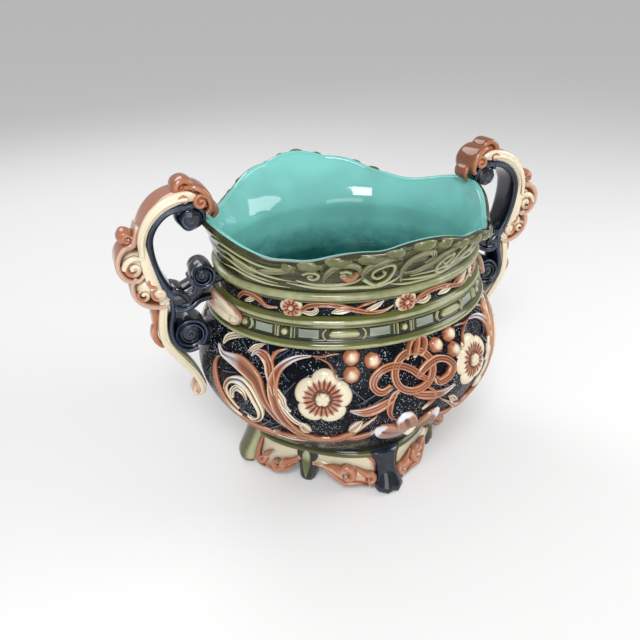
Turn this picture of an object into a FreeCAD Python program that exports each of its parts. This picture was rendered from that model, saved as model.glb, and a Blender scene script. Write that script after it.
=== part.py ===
"""Two-handled oval jardiniere of relief-moulded glazed earthenware on its own eight-footed base.

Millimetres, +Z up. The origin is on the ground in the middle of the pot. The handles lie along X,
the ornamented front faces -Y. Every horizontal section is an oval whose half-width along Y is its
half-width along X times depth_ratio; a "radius" below is always the half-width along X, and a
"turn" is an angle round the oval, 0 at the +X handle and 270 at the front. Long curves are cut in
straight facets, as on a plaster working model. Each piece that a potter moulds apart and lutes
on with slip is a solid of its own, cut to the faces that it sits on.
"""

import FreeCAD, Part
import math
import os
import Sketcher

Vector = FreeCAD.Vector
doc = FreeCAD.newDocument("jardiniere")

# ---------------------------------------------------------------------------------------------
# Driving dimensions
# ---------------------------------------------------------------------------------------------

SIZES = [
    ("depth_ratio", 0.873, "depth of the oval over its width"),
    ("wall", 8.0, "thickness of the wall"),
    ("floor_wall", 9.0, "thickness of the floor"),
    # levels of the body, ground up
    ("base_height", 40.0, "ground to the top of the plinth"),
    ("plinth_height", 7.0, "height of the plinth lip"),
    ("belly_height", 120.0, "ground to the widest level of the belly"),
    ("belt_height", 171.0, "ground to the lower edge of the belt"),
    ("belt_width", 26.0, "height of the belt"),
    ("neck_width", 20.0, "height of the frieze between belt and rim"),
    # half-widths of the body along X
    ("base_radius", 91.0, "body where it stands on the plinth"),
    ("belly_radius", 145.0, "widest level of the belly"),
    ("waist_radius", 126.0, "body under the lower edge of the belt"),
    ("neck_radius", 119.0, "frieze of the neck"),
    # rim band with its waved, flaring lip
    ("lip_wall", 6.5, "thickness of the lip"),
    ("lip_rise_side", 40.0, "lip over the foot of the rim band at the handles"),
    ("lip_rise_diagonal", 26.5, "the same between the peaks"),
    ("lip_rise_front", 47.5, "the same at front and back"),
    ("lip_reach_side", 130.0, "outer edge of the lip at the handles"),
    ("lip_reach_diagonal", 131.5, "outer edge of the lip between the peaks"),
    ("lip_reach_front", 160.0, "outer edge of the lip at front and back, before depth_ratio"),
    ("roll_height", 8.0, "height of the roll under the rim band"),
    ("roll_bulge", 4.0, "how far that roll stands out"),
    # belt
    ("belt_bulge", 6.0, "how far the belt's rolls stand out"),
    ("belt_channel", 2.5, "how far the channel between the rolls stands out"),
    ("belt_roll", 8.0, "height of each of the belt's rolls"),
    ("cartouches", 8.0, "cartouches round the belt, with a bead after each"),
    ("cartouche_length", 26.0, "length of a cartouche"),
    ("bead_length", 10.0, "length of a bead"),
    ("stud_gap", 0.5, "space over and under the studs in the channel"),
    ("stud_bulge", 2.4, "how far the studs stand out of the channel"),
    # base
    ("plinth_corner", 101.0, "plinth at its corners"),
    ("plinth_side", 93.0, "plinth between its corners"),
    ("foot_reach", 117.0, "corner feet on the ground along X"),
    ("foot_reach_front", 108.0, "corner feet on the ground along Y"),
    ("foot_width", 24.0, "width of a corner foot on the ground"),
    ("foot_neck", 17.0, "width of a corner foot under the plinth"),
    ("foot_depth", 18.0, "radial depth of a corner foot"),
    ("bracket_x", 69.0, "middle brackets along X"),
    ("bracket_y", 58.0, "middle brackets along Y"),
    ("bracket_width", 26.0, "width of a middle bracket under the plinth"),
    ("bracket_toe", 15.0, "width of a middle bracket on the ground"),
    ("bracket_depth", 15.0, "radial depth of a middle bracket"),
    ("apron_wall", 7.0, "thickness of the apron panels"),
    ("side_apron_turn", 69.0, "degrees from the front to the middle of a panel beside a handle"),
    ("side_apron_length", 58.0, "length of that panel, before it is cut to the feet"),
    ("face_apron_turn", 23.0, "degrees from the front to the middle of a panel on the long sides"),
    ("face_apron_length", 70.0, "length of that panel, before it is cut to the feet"),
    ("apron_drop", 20.0, "height of the apron panels"),
    ("apron_curl", 9.5, "radius of the apron's large curl"),
    ("apron_curl_small", 7.5, "radius of the apron's small curl"),
    ("apron_relief", 3.0, "how far the curls stand out of the panel"),
    # handles, in the plane through the pot's middle
    ("arch_out", 17.0, "centre of the handle's arch, out from the lip"),
    ("arch_drop", 11.0, "the same centre under the lip"),
    ("arch_radius", 23.0, "opening of the arch"),
    ("arm_thickness", 6.5, "thickness of the handle's arm"),
    ("arm_width", 28.0, "width of the arm"),
    ("leaf_thickness", 11.0, "thickness of the leaf at the arm's crown"),
    ("leaf_width", 32.0, "width of the leaf"),
    ("ball_radius", 12.0, "rolled end of the arm on the rim"),
    ("ball_out", 9.0, "middle of the rolled end, out from the lip"),
    ("ball_rise", 6.0, "the same middle over the lip"),
    ("volute_radius", 12.0, "upper volute"),
    ("volute_out", 15.0, "upper volute, out from the neck"),
    ("volute_drop", 5.0, "upper volute under the foot of the rim band"),
    ("low_volute_radius", 16.5, "lower volute"),
    ("low_volute_out", 6.0, "lower volute, out from the belly"),
    ("low_volute_drop", 11.0, "lower volute under the belt"),
    ("volute_width", 26.0, "width of both volutes"),
    ("volute_boss", 2.0, "how far the eye of a volute stands out on each side"),
    ("scroll_radius", 44.0, "outer curve of the handle's lower scroll"),
    ("scroll_thickness", 8.5, "thickness of the lower scroll"),
    ("scroll_width", 24.0, "width of the lower scroll"),
    ("tail_radius", 7.5, "curl that ends the handle on the belly"),
    ("tail_out", 8.0, "tail curl, out from the wall beside it"),
    ("tail_drop", 19.0, "tail curl under the belly's widest level"),
    ("knuckle_out", 21.0, "joint of the upper and lower scroll, out from the belly"),
    ("knuckle_rise", 6.0, "the same joint over the belt"),
    ("clasp_thickness", 6.0, "leaf that clasps the belt beside a handle"),
    # relief on belly and neck
    ("relief", 4.5, "how far the ornament stands out of the belly"),
    ("flower_radius", 24.0, "large five-petalled flower"),
    ("flower_rise", 13.0, "centre of the flower over the widest level"),
    ("flower_turn", 31.0, "degrees from the front to the flower"),
    ("stem_radius", 39.0, "stem that runs round the flower"),
    ("stem_band", 7.0, "width of the stem"),
    ("stem_start", 62.0, "upper end of the stem, degrees round the flower"),
    ("stem_turn", 174.0, "length of the stem, degrees round the flower"),
    ("knot_ring", 16.0, "radius of the knot's large ring"),
    ("knot_loop", 10.5, "radius of the knot's side loops"),
    ("knot_band", 4.8, "width of the knot's strap"),
    ("knot_rise", 28.0, "centre of the knot over the widest level"),
    ("berry_radius", 6.0, "berries beside the knot"),
    ("berry_rise", 41.0, "middle of the berries over the widest level"),
    ("berry_turn", 19.0, "degrees from the front to the berries"),
    ("fan_radius", 19.0, "fan-shaped flower under the knot"),
    ("fan_drop", 36.0, "root of the fan under the widest level"),
    ("neck_flowers", 8.0, "even places round the neck; the two behind the handles stay bare"),
    ("neck_flower_radius", 8.8, "radius of a neck flower"),
    ("neck_relief", 3.0, "how far the neck flowers stand out"),
]

sheet = doc.addObject("Spreadsheet::Sheet", "sizes")
for row, (alias, value, note) in enumerate(SIZES, start=1):
    sheet.set(f"A{row}", str(value))
    sheet.setAlias(f"A{row}", alias)
    sheet.set(f"B{row}", note)
doc.recompute()


def size(alias):
    return float(sheet.get(alias))


RATIO = size("depth_ratio")
FACETS = 56  # straight facets round the oval, a multiple of four
CHORD = 30.0  # degrees of a small curve that one facet stands for
ROLL_SECTION = ((0.0, 0.45), (0.5, 1.0), (1.0, 0.45))  # share of a roll's height and bulge
FRONT = 270.0
SEAT = 60.0  # how deep an ornament's blank reaches before it is cut to the surface

FRIEZE_HEIGHT = size("belt_height") + size("belt_width")
RIM_HEIGHT = FRIEZE_HEIGHT + size("neck_width")
PLINTH_FOOT = size("base_height") - size("plinth_height")
PLINTH_LIP = size("plinth_height") / 3
QUARTERS = ("front_right", "front_left", "back_right", "back_left")
BELLY = size("belly_radius")
BELLY_HEIGHT = size("belly_height")
LIP_HEIGHT = RIM_HEIGHT + size("lip_rise_side")

nodes = []


def node(name, piece):
    """Name a finished piece and put it on the list of pieces that are written."""
    piece.Label = name
    nodes.append(piece)
    return piece


# ---------------------------------------------------------------------------------------------
# The oval: levels, rings and turned solids
# ---------------------------------------------------------------------------------------------


def oval_point(turn, radius, height):
    angle = math.radians(turn)
    return Vector(radius * math.cos(angle), RATIO * radius * math.sin(angle), height)


def oval_normal(turn):
    angle = math.radians(turn)
    return Vector(RATIO * math.cos(angle), math.sin(angle), 0).normalize()


def facet_turns():
    return [360.0 * i / FACETS for i in range(FACETS)]


def level(radius, height):
    """One level of the pot as a ring of points."""
    return [oval_point(turn, radius, height) for turn in facet_turns()]


def facet(corners):
    """Flat facet, or two where the four corners don't lie in a plane."""
    normal = (corners[1] - corners[0]).cross(corners[3] - corners[0]).normalize()
    if abs((corners[2] - corners[0]).dot(normal)) < 1e-6:
        return [Part.Face(Part.makePolygon(corners + corners[:1]))]
    a, b, c, d = corners
    return [Part.Face(Part.makePolygon([a, b, c, a])), Part.Face(Part.makePolygon([a, c, d, a]))]


def band(lower, upper):
    count = len(lower)
    faces = []
    for i in range(count):
        j = (i + 1) % count
        faces += facet([lower[i], lower[j], upper[j], upper[i]])
    return faces


def solid_of(faces):
    shell = Part.Shell(faces)
    solid = Part.Solid(shell)
    if solid.Volume < 0:
        solid.reverse()
    return solid


def ring_solid(rings):
    """Solid of ring form: the rings go once round its cross-section."""
    faces = []
    for lower, upper in zip(rings, rings[1:] + rings[:1]):
        faces += band(lower, upper)
    return solid_of(faces)


def cup_solid(rings):
    """Solid closed by a flat face at the first ring and at the last."""
    faces = [Part.Face(Part.makePolygon(ring + ring[:1])) for ring in (rings[0], rings[-1])]
    for lower, upper in zip(rings, rings[1:]):
        faces += band(lower, upper)
    return solid_of(faces)


def shaped(name, shape):
    piece = doc.addObject("Part::Feature", name)
    piece.Shape = shape
    return piece


def cut(name, base, *tools):
    """Trim a blank to the faces of its neighbours."""
    tool = tools[0]
    if len(tools) > 1:
        tool = doc.addObject("Part::MultiFuse", f"{name}_neighbours")
        tool.Shapes = list(tools)
    piece = doc.addObject("Part::Cut", name)
    piece.Base = base
    piece.Tool = tool
    return piece


def common(name, base, tool):
    piece = doc.addObject("Part::Common", name)
    piece.Base = base
    piece.Tool = tool
    return piece


def mirrored(name, source, normal):
    piece = doc.addObject("Part::Mirroring", name)
    piece.Source = source
    piece.Normal = normal
    return piece


def group(name, pieces):
    piece = doc.addObject("Part::Compound", name)
    piece.Links = pieces
    return piece


ACROSS = Vector(1, 0, 0)
ALONG = Vector(0, 1, 0)


def both_sides(name, left_label, right_label, piece):
    """A handle piece is modelled at +X and mirrored to -X."""
    node(right_label, piece)
    node(left_label, mirrored(f"{name}_mirror", piece, ACROSS))


def four_ways(name, piece):
    """An ornament of the front right quarter, and its three reflections."""
    left = mirrored(f"{name}_left", piece, ACROSS)
    return [piece, left, mirrored(f"{name}_back", piece, ALONG), mirrored(f"{name}_far", left, ALONG)]


def quarter_nodes(name, piece):
    for label, part in zip(QUARTERS, four_ways(name, piece)):
        node(f"{name}_{label}", part)


# ---------------------------------------------------------------------------------------------
# Outlines and padded bodies
# ---------------------------------------------------------------------------------------------


def arc(x, y, radius, start, end, chord=CHORD):
    """Points along an arc, both ends included, one facet to every chord degrees."""
    steps = max(1, math.ceil(abs(end - start) / chord))
    turns = [math.radians(start + (end - start) * i / steps) for i in range(steps + 1)]
    return [(x + radius * math.cos(t), y + radius * math.sin(t)) for t in turns]


def disc(x, y, radius):
    return arc(x, y, radius, 0, 360)[:-1]


def origin_plane(body, role):
    return next(f for f in body.Origin.OriginFeatures if f.Role == role)


def outline_sketch(body, name, role, loops):
    """Closed loops of straight edges on one of the body's own planes."""
    sketch = body.newObject("Sketcher::SketchObject", name)
    sketch.AttachmentSupport = [(origin_plane(body, role), "")]
    sketch.MapMode = "FlatFace"
    for points in loops:
        first = len(sketch.Geometry)
        count = len(points)
        corners = [Vector(x, y, 0) for x, y in points]
        edges = [Part.LineSegment(corners[i], corners[(i + 1) % count]) for i in range(count)]
        sketch.addGeometry(edges, False)
        ties = [
            Sketcher.Constraint("Coincident", first + i, 2, first + (i + 1) % count, 1)
            for i in range(count)
        ]
        sketch.addConstraint(ties)
    return sketch


def pad(body, name, role, loops, width):
    """Pad an outline by an expression, half to each side of its plane."""
    sketch = outline_sketch(body, f"{name}_outline", role, loops)
    feature = body.newObject("PartDesign::Pad", name)
    feature.Profile = sketch
    feature.Midplane = True
    feature.setExpression("Length", width)
    body.Tip = feature
    return feature


def side_body(name, pads):
    """Body built of pads in the plane of the handles: (loops, width expression) for each."""
    body = doc.addObject("PartDesign::Body", f"{name}_blank")
    for i, (loops, width) in enumerate(pads):
        pad(body, f"{name}_pad{i}", "XZ_Plane", loops, width)
    return body


def face_body(name, outlines, turn, height, radius):
    """Blank of an ornament: its outlines as seen from outside, padded through the wall at a turn."""
    body = doc.addObject("PartDesign::Body", f"{name}_blank")
    for i, loops in enumerate(outlines):
        pad(body, f"{name}_pad{i}", "XZ_Plane", loops, str(SEAT))
    middle = oval_point(turn, radius, height)
    heading = math.degrees(math.atan2(oval_normal(turn).y, oval_normal(turn).x)) - FRONT
    body.Placement = FreeCAD.Placement(middle, FreeCAD.Rotation(Vector(0, 0, 1), heading))
    return body


def ornament(name, outlines, turn, height, radius, skin):
    """Raised ornament: its blank cut to a skin that lies over the wall."""
    return common(name, face_body(name, outlines, turn, height, radius), skin)


# ---------------------------------------------------------------------------------------------
# Body, rim and belt
# ---------------------------------------------------------------------------------------------


def belly_levels(stand_out=0.0):
    """Radius and height from the plinth to the belt: a quick swell, then a round shoulder."""
    base, top = size("base_height"), size("belt_height")
    widest, low = BELLY_HEIGHT, size("base_radius")
    full, waist = BELLY, size("waist_radius")
    levels = [(low + stand_out, base)]
    for share in (0.28, 0.55, 0.8):
        swell = math.sin(math.radians(90.0 * share)) ** 0.92
        levels.append((low + (full - low) * swell + stand_out, base + (widest - base) * share))
    levels.append((full + stand_out, widest))
    for share in (0.35, 0.7, 1.0):
        drop = 1 - math.cos(math.radians(75.0 * share))
        whole = 1 - math.cos(math.radians(75.0))
        levels.append((full - (full - waist) * drop / whole + stand_out, widest + (top - widest) * share))
    return levels


def bowl_shape():
    wall = size("wall")
    outside = belly_levels() + [(size("neck_radius"), FRIEZE_HEIGHT), (size("neck_radius"), RIM_HEIGHT)]
    floor = size("base_height") + size("floor_wall")
    inside = [(size("neck_radius") - wall, RIM_HEIGHT), (size("neck_radius") - wall, FRIEZE_HEIGHT)]
    inside += [(radius - wall, height) for radius, height in reversed(belly_levels()[1::2])]
    inside.append((size("base_radius") - wall, floor))
    return cup_solid([level(radius, height) for radius, height in outside + inside])


def wave(side, diagonal, front, turn):
    """Smooth value round the oval from its values at handles, diagonals and front."""
    double = math.radians(2 * turn)
    mean = (side + front) / 4 + diagonal / 2
    peaks = (side + front) / 4 - diagonal / 2
    return mean + (side - front) / 2 * math.cos(double) + peaks * math.cos(2 * double)


def lip_height(turn):
    return RIM_HEIGHT + wave(size("lip_rise_side"), size("lip_rise_diagonal"), size("lip_rise_front"), turn)


def lip_reach(turn):
    return wave(size("lip_reach_side"), size("lip_reach_diagonal"), size("lip_reach_front"), turn)


def rim_ring(share, inset):
    """Ring of the rim band between its foot (share 0) and its lip (share 1), set in from outside."""
    ring = []
    for turn in facet_turns():
        height = RIM_HEIGHT + (lip_height(turn) - RIM_HEIGHT) * share
        flare = (lip_reach(turn) - size("neck_radius")) * share**1.7
        ring.append(oval_point(turn, size("neck_radius") + flare - inset, height))
    return ring


def rim_shape(inset_foot, inset_lip, stand_out=0.0):
    shares = (0.0, 0.4, 0.75, 1.0)
    outside = [rim_ring(share, -stand_out) for share in shares]
    inside = [rim_ring(share, inset_foot + (inset_lip - inset_foot) * share) for share in shares]
    return ring_solid(outside + inside[::-1])


def ring_of(profile):
    return ring_solid([level(radius, height) for radius, height in profile])


def roll_shape():
    """Roll under the rim band, seated on the neck."""
    seat, out, height = size("neck_radius"), size("roll_bulge"), size("roll_height")
    low = RIM_HEIGHT - height
    return ring_of(
        [
            (seat, low),
            (seat + out * 0.7, low),
            (seat + out, low + height * 0.5),
            (seat + out * 0.6, RIM_HEIGHT),
            (seat, RIM_HEIGHT),
        ]
    )


def wall_radius(height):
    """Outside of the body at a height."""
    levels = belly_levels() + [(size("neck_radius"), FRIEZE_HEIGHT), (size("neck_radius"), RIM_HEIGHT)]
    for (low, start), (high, end) in zip(levels, levels[1:]):
        if height <= end:
            return low + (high - low) * (height - start) / (end - start)
    return size("neck_radius")


def belt_shape():
    """Two rolls with a channel between them."""
    low, high, roll = size("belt_height"), FRIEZE_HEIGHT, size("belt_roll")
    bulge, channel = size("belt_bulge"), size("belt_channel")
    profile = [(wall_radius(low), low)]
    for share, out in ROLL_SECTION:
        height = low + roll * share
        profile.append((wall_radius(height) + bulge * out, height))
    profile.append((wall_radius(low + roll) + channel, low + roll))
    profile.append((wall_radius(high - roll) + channel, high - roll))
    for share, out in ROLL_SECTION:
        height = high - roll + roll * share
        profile.append((wall_radius(height) + bulge * out, height))
    profile.append((wall_radius(high), high))
    return ring_of(profile)


bowl = node("bowl", shaped("bowl_shell", bowl_shape()))
rim = node("rim_band", shaped("rim_shell", rim_shape(size("wall"), size("lip_wall"))))
roll = node("rim_roll", shaped("rim_roll_ring", roll_shape()))
belt = node("belt", shaped("belt_ring", belt_shape()))


# studs in the belt's channel
def channel_skin():
    low = size("belt_height") + size("belt_roll") + size("stud_gap")
    high = FRIEZE_HEIGHT - size("belt_roll") - size("stud_gap")
    seat, out = size("belt_channel"), size("belt_channel") + size("stud_bulge")
    corners = ((low, seat), (low, out), (high, out), (high, seat))
    return ring_of([(wall_radius(height) + stand, height) for height, stand in corners])


def stud_outline(length):
    half = size("belt_width") / 2
    run = length / 2 - half / 3
    blunt = half / 3 * 0.6
    return [
        (run, -half / 3),
        (run + blunt, -blunt * 0.6),
        (run + blunt, blunt * 0.6),
        (run, half / 3),
        (-run, half / 3),
        (-run - blunt, blunt * 0.6),
        (-run - blunt, -blunt * 0.6),
        (-run, -half / 3),
    ]


def stud_ring(name, length, first_turn):
    """Studs evenly round the belt, cut to the channel."""
    skin = shaped(f"{name}_skin", channel_skin())
    count = round(size("cartouches"))
    middle = size("belt_height") + size("belt_width") / 2
    studs = []
    for i in range(count):
        turn = first_turn + 360.0 * i / count
        outline = [[stud_outline(length)]]
        studs.append(ornament(f"{name}_{i}", outline, turn, middle, size("neck_radius"), skin))
    return group(f"{name}_ring", studs)


step = 360.0 / round(size("cartouches"))
node("belt_beads", stud_ring("bead", size("bead_length"), FRONT))
cartouches = node("belt_cartouches", stud_ring("cartouche", size("cartouche_length"), FRONT + step / 2))

doc.recompute()

# ---------------------------------------------------------------------------------------------
# Base: plinth, corner feet, middle brackets and apron panels
# ---------------------------------------------------------------------------------------------


def plinth_radius(turn):
    return wave(size("plinth_corner"), size("plinth_side"), size("plinth_corner"), turn)


def plinth_level(height, inset):
    return [oval_point(turn, plinth_radius(turn) - inset, height) for turn in facet_turns()]


def plinth_shape():
    """Bowed lip with a corner over each corner foot, open in the middle."""
    top, low, lip = size("base_height"), PLINTH_FOOT, PLINTH_LIP
    bore = size("base_radius") - size("wall") * 2.5
    outside = [plinth_level(low, lip), plinth_level(top - lip, 0), plinth_level(top, lip)]
    return ring_solid([level(bore, low)] + outside + [level(bore, top)])


def radial_foot(name, reach, depth, widths, heading, flare):
    """Foot on a heading from the middle: a side profile and a front profile, one cut by the other."""
    top, ankle = PLINTH_FOOT, PLINTH_FOOT * 0.36
    waist, toe, sole = widths
    neck = reach - flare
    side = [
        (neck - depth, top),
        (neck - depth * 0.1, top),
        (neck + flare * 0.05, top * 0.62),
        (reach - flare * 0.15, ankle),
        (reach, ankle * 0.45),
        (reach - depth * 0.08, 0),
        (reach - depth, 0),
        (neck - depth * 0.8, top * 0.5),
    ]
    front = [
        (-waist / 2, top),
        (waist / 2, top),
        (waist / 2 * 0.9, top * 0.5),
        (toe / 2, ankle * 0.7),
        (toe / 2, ankle * 0.3),
        (sole / 2, 0),
        (-sole / 2, 0),
        (-toe / 2, ankle * 0.3),
        (-toe / 2, ankle * 0.7),
        (-waist / 2 * 0.9, top * 0.5),
    ]
    profile = doc.addObject("PartDesign::Body", f"{name}_side")
    pad(profile, f"{name}_side_pad", "XZ_Plane", [side], str(2 * toe + 2 * waist))
    face = doc.addObject("PartDesign::Body", f"{name}_face")
    pad(face, f"{name}_face_pad", "YZ_Plane", [front], str(4 * reach))
    foot = common(name, profile, face)
    foot.Placement = FreeCAD.Placement(Vector(), FreeCAD.Rotation(Vector(0, 0, 1), heading))
    return foot


def corner_foot(name, reach, corner, heading):
    widths = (size("foot_neck"), size("foot_width"), size("foot_width") * 0.7)
    return radial_foot(name, reach, size("foot_depth"), widths, heading, reach - corner + PLINTH_LIP)


def apron_skin(rise):
    """Ring that the apron panels are cut from: it leans out towards the ground."""
    top, wall = PLINTH_FOOT, size("apron_wall")
    lean = (size("foot_reach") - size("plinth_corner")) * 0.6
    inside = [plinth_level(0, wall - lean), plinth_level(top, wall + PLINTH_LIP)]
    outside = [plinth_level(0, -lean - rise), plinth_level(top, PLINTH_LIP - rise)]
    return ring_solid(inside + outside[::-1])


def apron_panel(name, turn, half, mirror):
    """Panel between two feet, with a large curl by the middle bracket and a small one beyond it."""
    low, big, small = -size("apron_drop"), size("apron_curl"), size("apron_curl_small")
    edge = [(-half, 0), (-half, -big), (-half * 0.55, low + small), (0, low + small), (half, -big), (half, 0)]
    large, little = disc(half * 0.42, -big * 1.15, big), disc(-half * 0.5, low + small * 0.35, small)
    edge, large, little = ([(x * mirror, z) for x, z in outline] for outline in (edge, large, little))
    panel = doc.addObject("Part::MultiFuse", f"{name}_raw")
    panel.Shapes = [
        ornament(f"{name}_wall", [[edge]], turn, PLINTH_FOOT, size("plinth_side"), thin_skin),
        ornament(f"{name}_large", [[large]], turn, PLINTH_FOOT, size("plinth_side"), thick_skin),
        ornament(f"{name}_little", [[little]], turn, PLINTH_FOOT, size("plinth_side"), thick_skin),
    ]
    return cut(name, panel, foot_x, foot_y, bracket)


node("plinth", shaped("plinth_ring", plinth_shape()))
foot_x = corner_foot("foot_at_handle", size("foot_reach"), size("plinth_corner"), 0)
foot_y = corner_foot("foot_at_front", size("foot_reach_front"), size("plinth_corner") * RATIO, -90)
both_sides("handle_foot", "corner_foot_left", "corner_foot_right", foot_x)
node("corner_foot_front", foot_y)
node("corner_foot_back", mirrored("front_foot_mirror", foot_y, ALONG))

bracket_at = Vector(size("bracket_x"), -size("bracket_y"), 0)
bracket_widths = (size("bracket_width"), size("bracket_toe"), size("bracket_toe") * 0.7)
bracket_heading = math.degrees(math.atan2(bracket_at.y, bracket_at.x))
bracket = radial_foot(
    "bracket", bracket_at.Length, size("bracket_depth"), bracket_widths, bracket_heading, PLINTH_LIP * 2
)
thin_skin = shaped("apron_skin", apron_skin(0))
thick_skin = shaped("apron_curl_skin", apron_skin(size("apron_relief")))
side_panel = apron_panel("side_panel", FRONT + size("side_apron_turn"), size("side_apron_length") / 2, -1)
face_panel = apron_panel("face_panel", FRONT + size("face_apron_turn"), size("face_apron_length") / 2, 1)
quarter_nodes("bracket", bracket)
quarter_nodes("apron_side", side_panel)
quarter_nodes("apron_face", face_panel)

# ---------------------------------------------------------------------------------------------
# Handles: modelled at +X in the plane of the handles, outline by outline
# ---------------------------------------------------------------------------------------------

BALL = (size("lip_reach_side") + size("ball_out"), LIP_HEIGHT + size("ball_rise"))
ARCH = (size("lip_reach_side") + size("arch_out"), LIP_HEIGHT - size("arch_drop"))
VOLUTE = (size("neck_radius") + size("volute_out"), RIM_HEIGHT - size("volute_drop"))
KNUCKLE = (BELLY + size("knuckle_out"), FRIEZE_HEIGHT + size("knuckle_rise"))
LOW_VOLUTE = (BELLY + size("low_volute_out"), size("belt_height") - size("low_volute_drop"))
TAIL_HEIGHT = BELLY_HEIGHT - size("tail_drop")
TAIL = (wall_radius(TAIL_HEIGHT) + size("tail_out"), TAIL_HEIGHT)


def arm_edge(offset):
    """Edge of the arm, from the crown over the arch and down a slow back curve to the joint."""
    over = arc(*ARCH, size("arch_radius") + offset, 90, 0)
    x, z = over[-1]
    thickness = size("arm_thickness")
    aside = KNUCKLE[0] - thickness * 0.7 + offset - x
    down = z - KNUCKLE[1] - thickness * 0.35
    back = [(x + aside * (1 - math.cos(math.radians(90 * s))), z - down * s) for s in (0.5, 1)]
    return over + back


def arm_outline():
    inner, outer = arm_edge(0), arm_edge(size("arm_thickness"))
    crown = ARCH[1] + size("arch_radius")
    start = [(BALL[0], crown), (BALL[0], crown + size("arm_thickness"))]
    return start + outer + inner[::-1]


def leaf_outline():
    """Leaf on the arm, thick at the crown and running out to a point down the arm."""
    thin, thick = size("arm_thickness"), size("leaf_thickness")
    inner = arc(*ARCH, size("arch_radius") + thin, 100, 8)
    steps = len(inner)
    outer = []
    for i, (x, z) in enumerate(inner[:-1]):
        grow = 1 + thick * (1 - i / (steps - 1)) ** 0.75 / (size("arch_radius") + thin)
        outer.append((ARCH[0] + (x - ARCH[0]) * grow, ARCH[1] + (z - ARCH[1]) * grow))
    return inner[::-1] + outer


def lobe_pads():
    """Leaf curls on the outside of the arm: a knob, a large lobe, a lower lobe and the leaf's end."""
    edge = ARCH[0] + size("arch_radius") + size("arm_thickness")
    rib = arm_edge(0)[2:] + arm_edge(size("arm_thickness") * 1.9)[:2:-1]
    return [
        ([rib], "sizes.arm_width"),
        ([disc(edge + 12, ARCH[1] - 13, 12)], "sizes.leaf_width * 0.8"),
        ([disc(edge + 9.5, ARCH[1] + 3, 8)], "sizes.leaf_width * 0.45"),
        ([disc(KNUCKLE[0] + 14.5, KNUCKLE[1] + 9, 10)], "sizes.leaf_width * 0.9"),
        ([disc(KNUCKLE[0] + 5, KNUCKLE[1] - 4, 7)], "sizes.leaf_width"),
    ]


def crest_pads():
    """Curled leaf that crowns the rolled end of the arm."""
    x, z = BALL
    reach = size("ball_radius")
    return [
        ([disc(x + 1, z + reach * 1.85, 8.5)], "sizes.leaf_width * 0.75"),
        ([disc(x - reach * 0.95, z + reach * 0.95, 9.5)], "sizes.leaf_width"),
    ]


def volute_pads(x, z, radius):
    return [
        ([disc(x, z, radius)], "sizes.volute_width"),
        ([disc(x, z, radius * 0.55)], "sizes.volute_width + 2 * sizes.volute_boss"),
    ]


def root(x, z, height):
    """Root that joins a volute to the wall behind it."""
    low, high = z - height / 2, z + height / 2
    seat = size("wall") * 0.4
    return [(x, low), (x, high), (wall_radius(high) - seat, high), (wall_radius(low) - seat, low)]


def stem_pads():
    """Upper volute with its root and the bar that runs out to the knuckle."""
    x, z = VOLUTE
    radius = size("volute_radius")
    knuckle, height = KNUCKLE
    middle = (x + knuckle) / 2
    bar = [
        (x, z - radius * 0.9),
        (middle - 4, height - 15),
        (middle + 8, height - 20),
        (knuckle + 2, height - 13),
        (knuckle + 2, height + 3),
        (knuckle - 3, height + 3),
        (middle + 3, height - 3),
        (x + radius * 0.6, z - 1),
    ]
    pads = volute_pads(x, z, radius)
    pads.append(([bar], "sizes.volute_width * 0.8"))
    pads.append(([root(x, z, radius)], "sizes.volute_width * 0.7"))
    return pads


SCROLL = (
    LOW_VOLUTE[0] + size("low_volute_radius") + size("scroll_thickness") - size("scroll_radius"),
    LOW_VOLUTE[1],
)


def scroll_band(outer, thickness, low_turn, top_z):
    """Band along the lower scroll's curve, from its low end up to the knuckle."""
    back = arc(*SCROLL, size("scroll_radius") - outer, low_turn, 12)
    front = arc(*SCROLL, size("scroll_radius") - outer - thickness, 12, low_turn)
    x = KNUCKLE[0] + size("scroll_thickness") - outer
    return back + [(x, top_z), (x - thickness, top_z)] + front


def scroll_pads():
    """Lower scroll with the curl that ends it on the belly."""
    thickness, reach = size("scroll_thickness"), size("tail_radius")
    x, z = TAIL
    band = scroll_band(0, thickness, -44, KNUCKLE[1] - 8)
    tail = [(x - reach * 0.4, z + reach), (x + reach * 0.7, z + reach * 0.4)]
    return [
        ([tail + band], "sizes.scroll_width"),
        ([disc(x, z, reach)], "sizes.scroll_width * 0.85"),
    ]


def back_leaf_outline():
    """Small leaf on the outside of the lower scroll."""
    outer = arc(*SCROLL, size("scroll_radius"), -14, 12)
    top = (KNUCKLE[0] + size("scroll_thickness"), KNUCKLE[1] - 10)
    x = outer[-1][0]
    return outer + [top, (x + 5, top[1] - 14), (x + 8, top[1] - 30), (x + 4, outer[0][1] + 3)]


ball_pads = volute_pads(*BALL, size("ball_radius"))
ball = cut("ball", side_body("ball", ball_pads), rim)
arm = cut("arm", side_body("arm", [([arm_outline()], "sizes.arm_width")]), ball)
lobes = cut("lobes", side_body("lobes", lobe_pads()), arm)
leaf = cut("leaf", side_body("leaf", [([leaf_outline()], "sizes.leaf_width")]), arm, lobes, ball)
crest = cut("crest", side_body("crest", crest_pads()), ball, arm, leaf, rim)
stem = cut("stem", side_body("stem", stem_pads()), arm, lobes, bowl, rim, roll, belt)
scroll = cut("scroll", side_body("scroll", scroll_pads()), lobes, stem, bowl)
low_radius = size("low_volute_radius")
low_strip = scroll_band(size("scroll_thickness"), size("scroll_thickness") * 0.7, -20, KNUCKLE[1] - 18)
low_pads = volute_pads(*LOW_VOLUTE, low_radius)
low_pads.append(([low_strip], "sizes.volute_width * 0.8"))
low_pads.append(([root(*LOW_VOLUTE, low_radius)], "sizes.volute_width * 0.7"))
low_volute = cut("low_volute", side_body("low_volute", low_pads), scroll, lobes, stem, bowl, belt)
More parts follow.
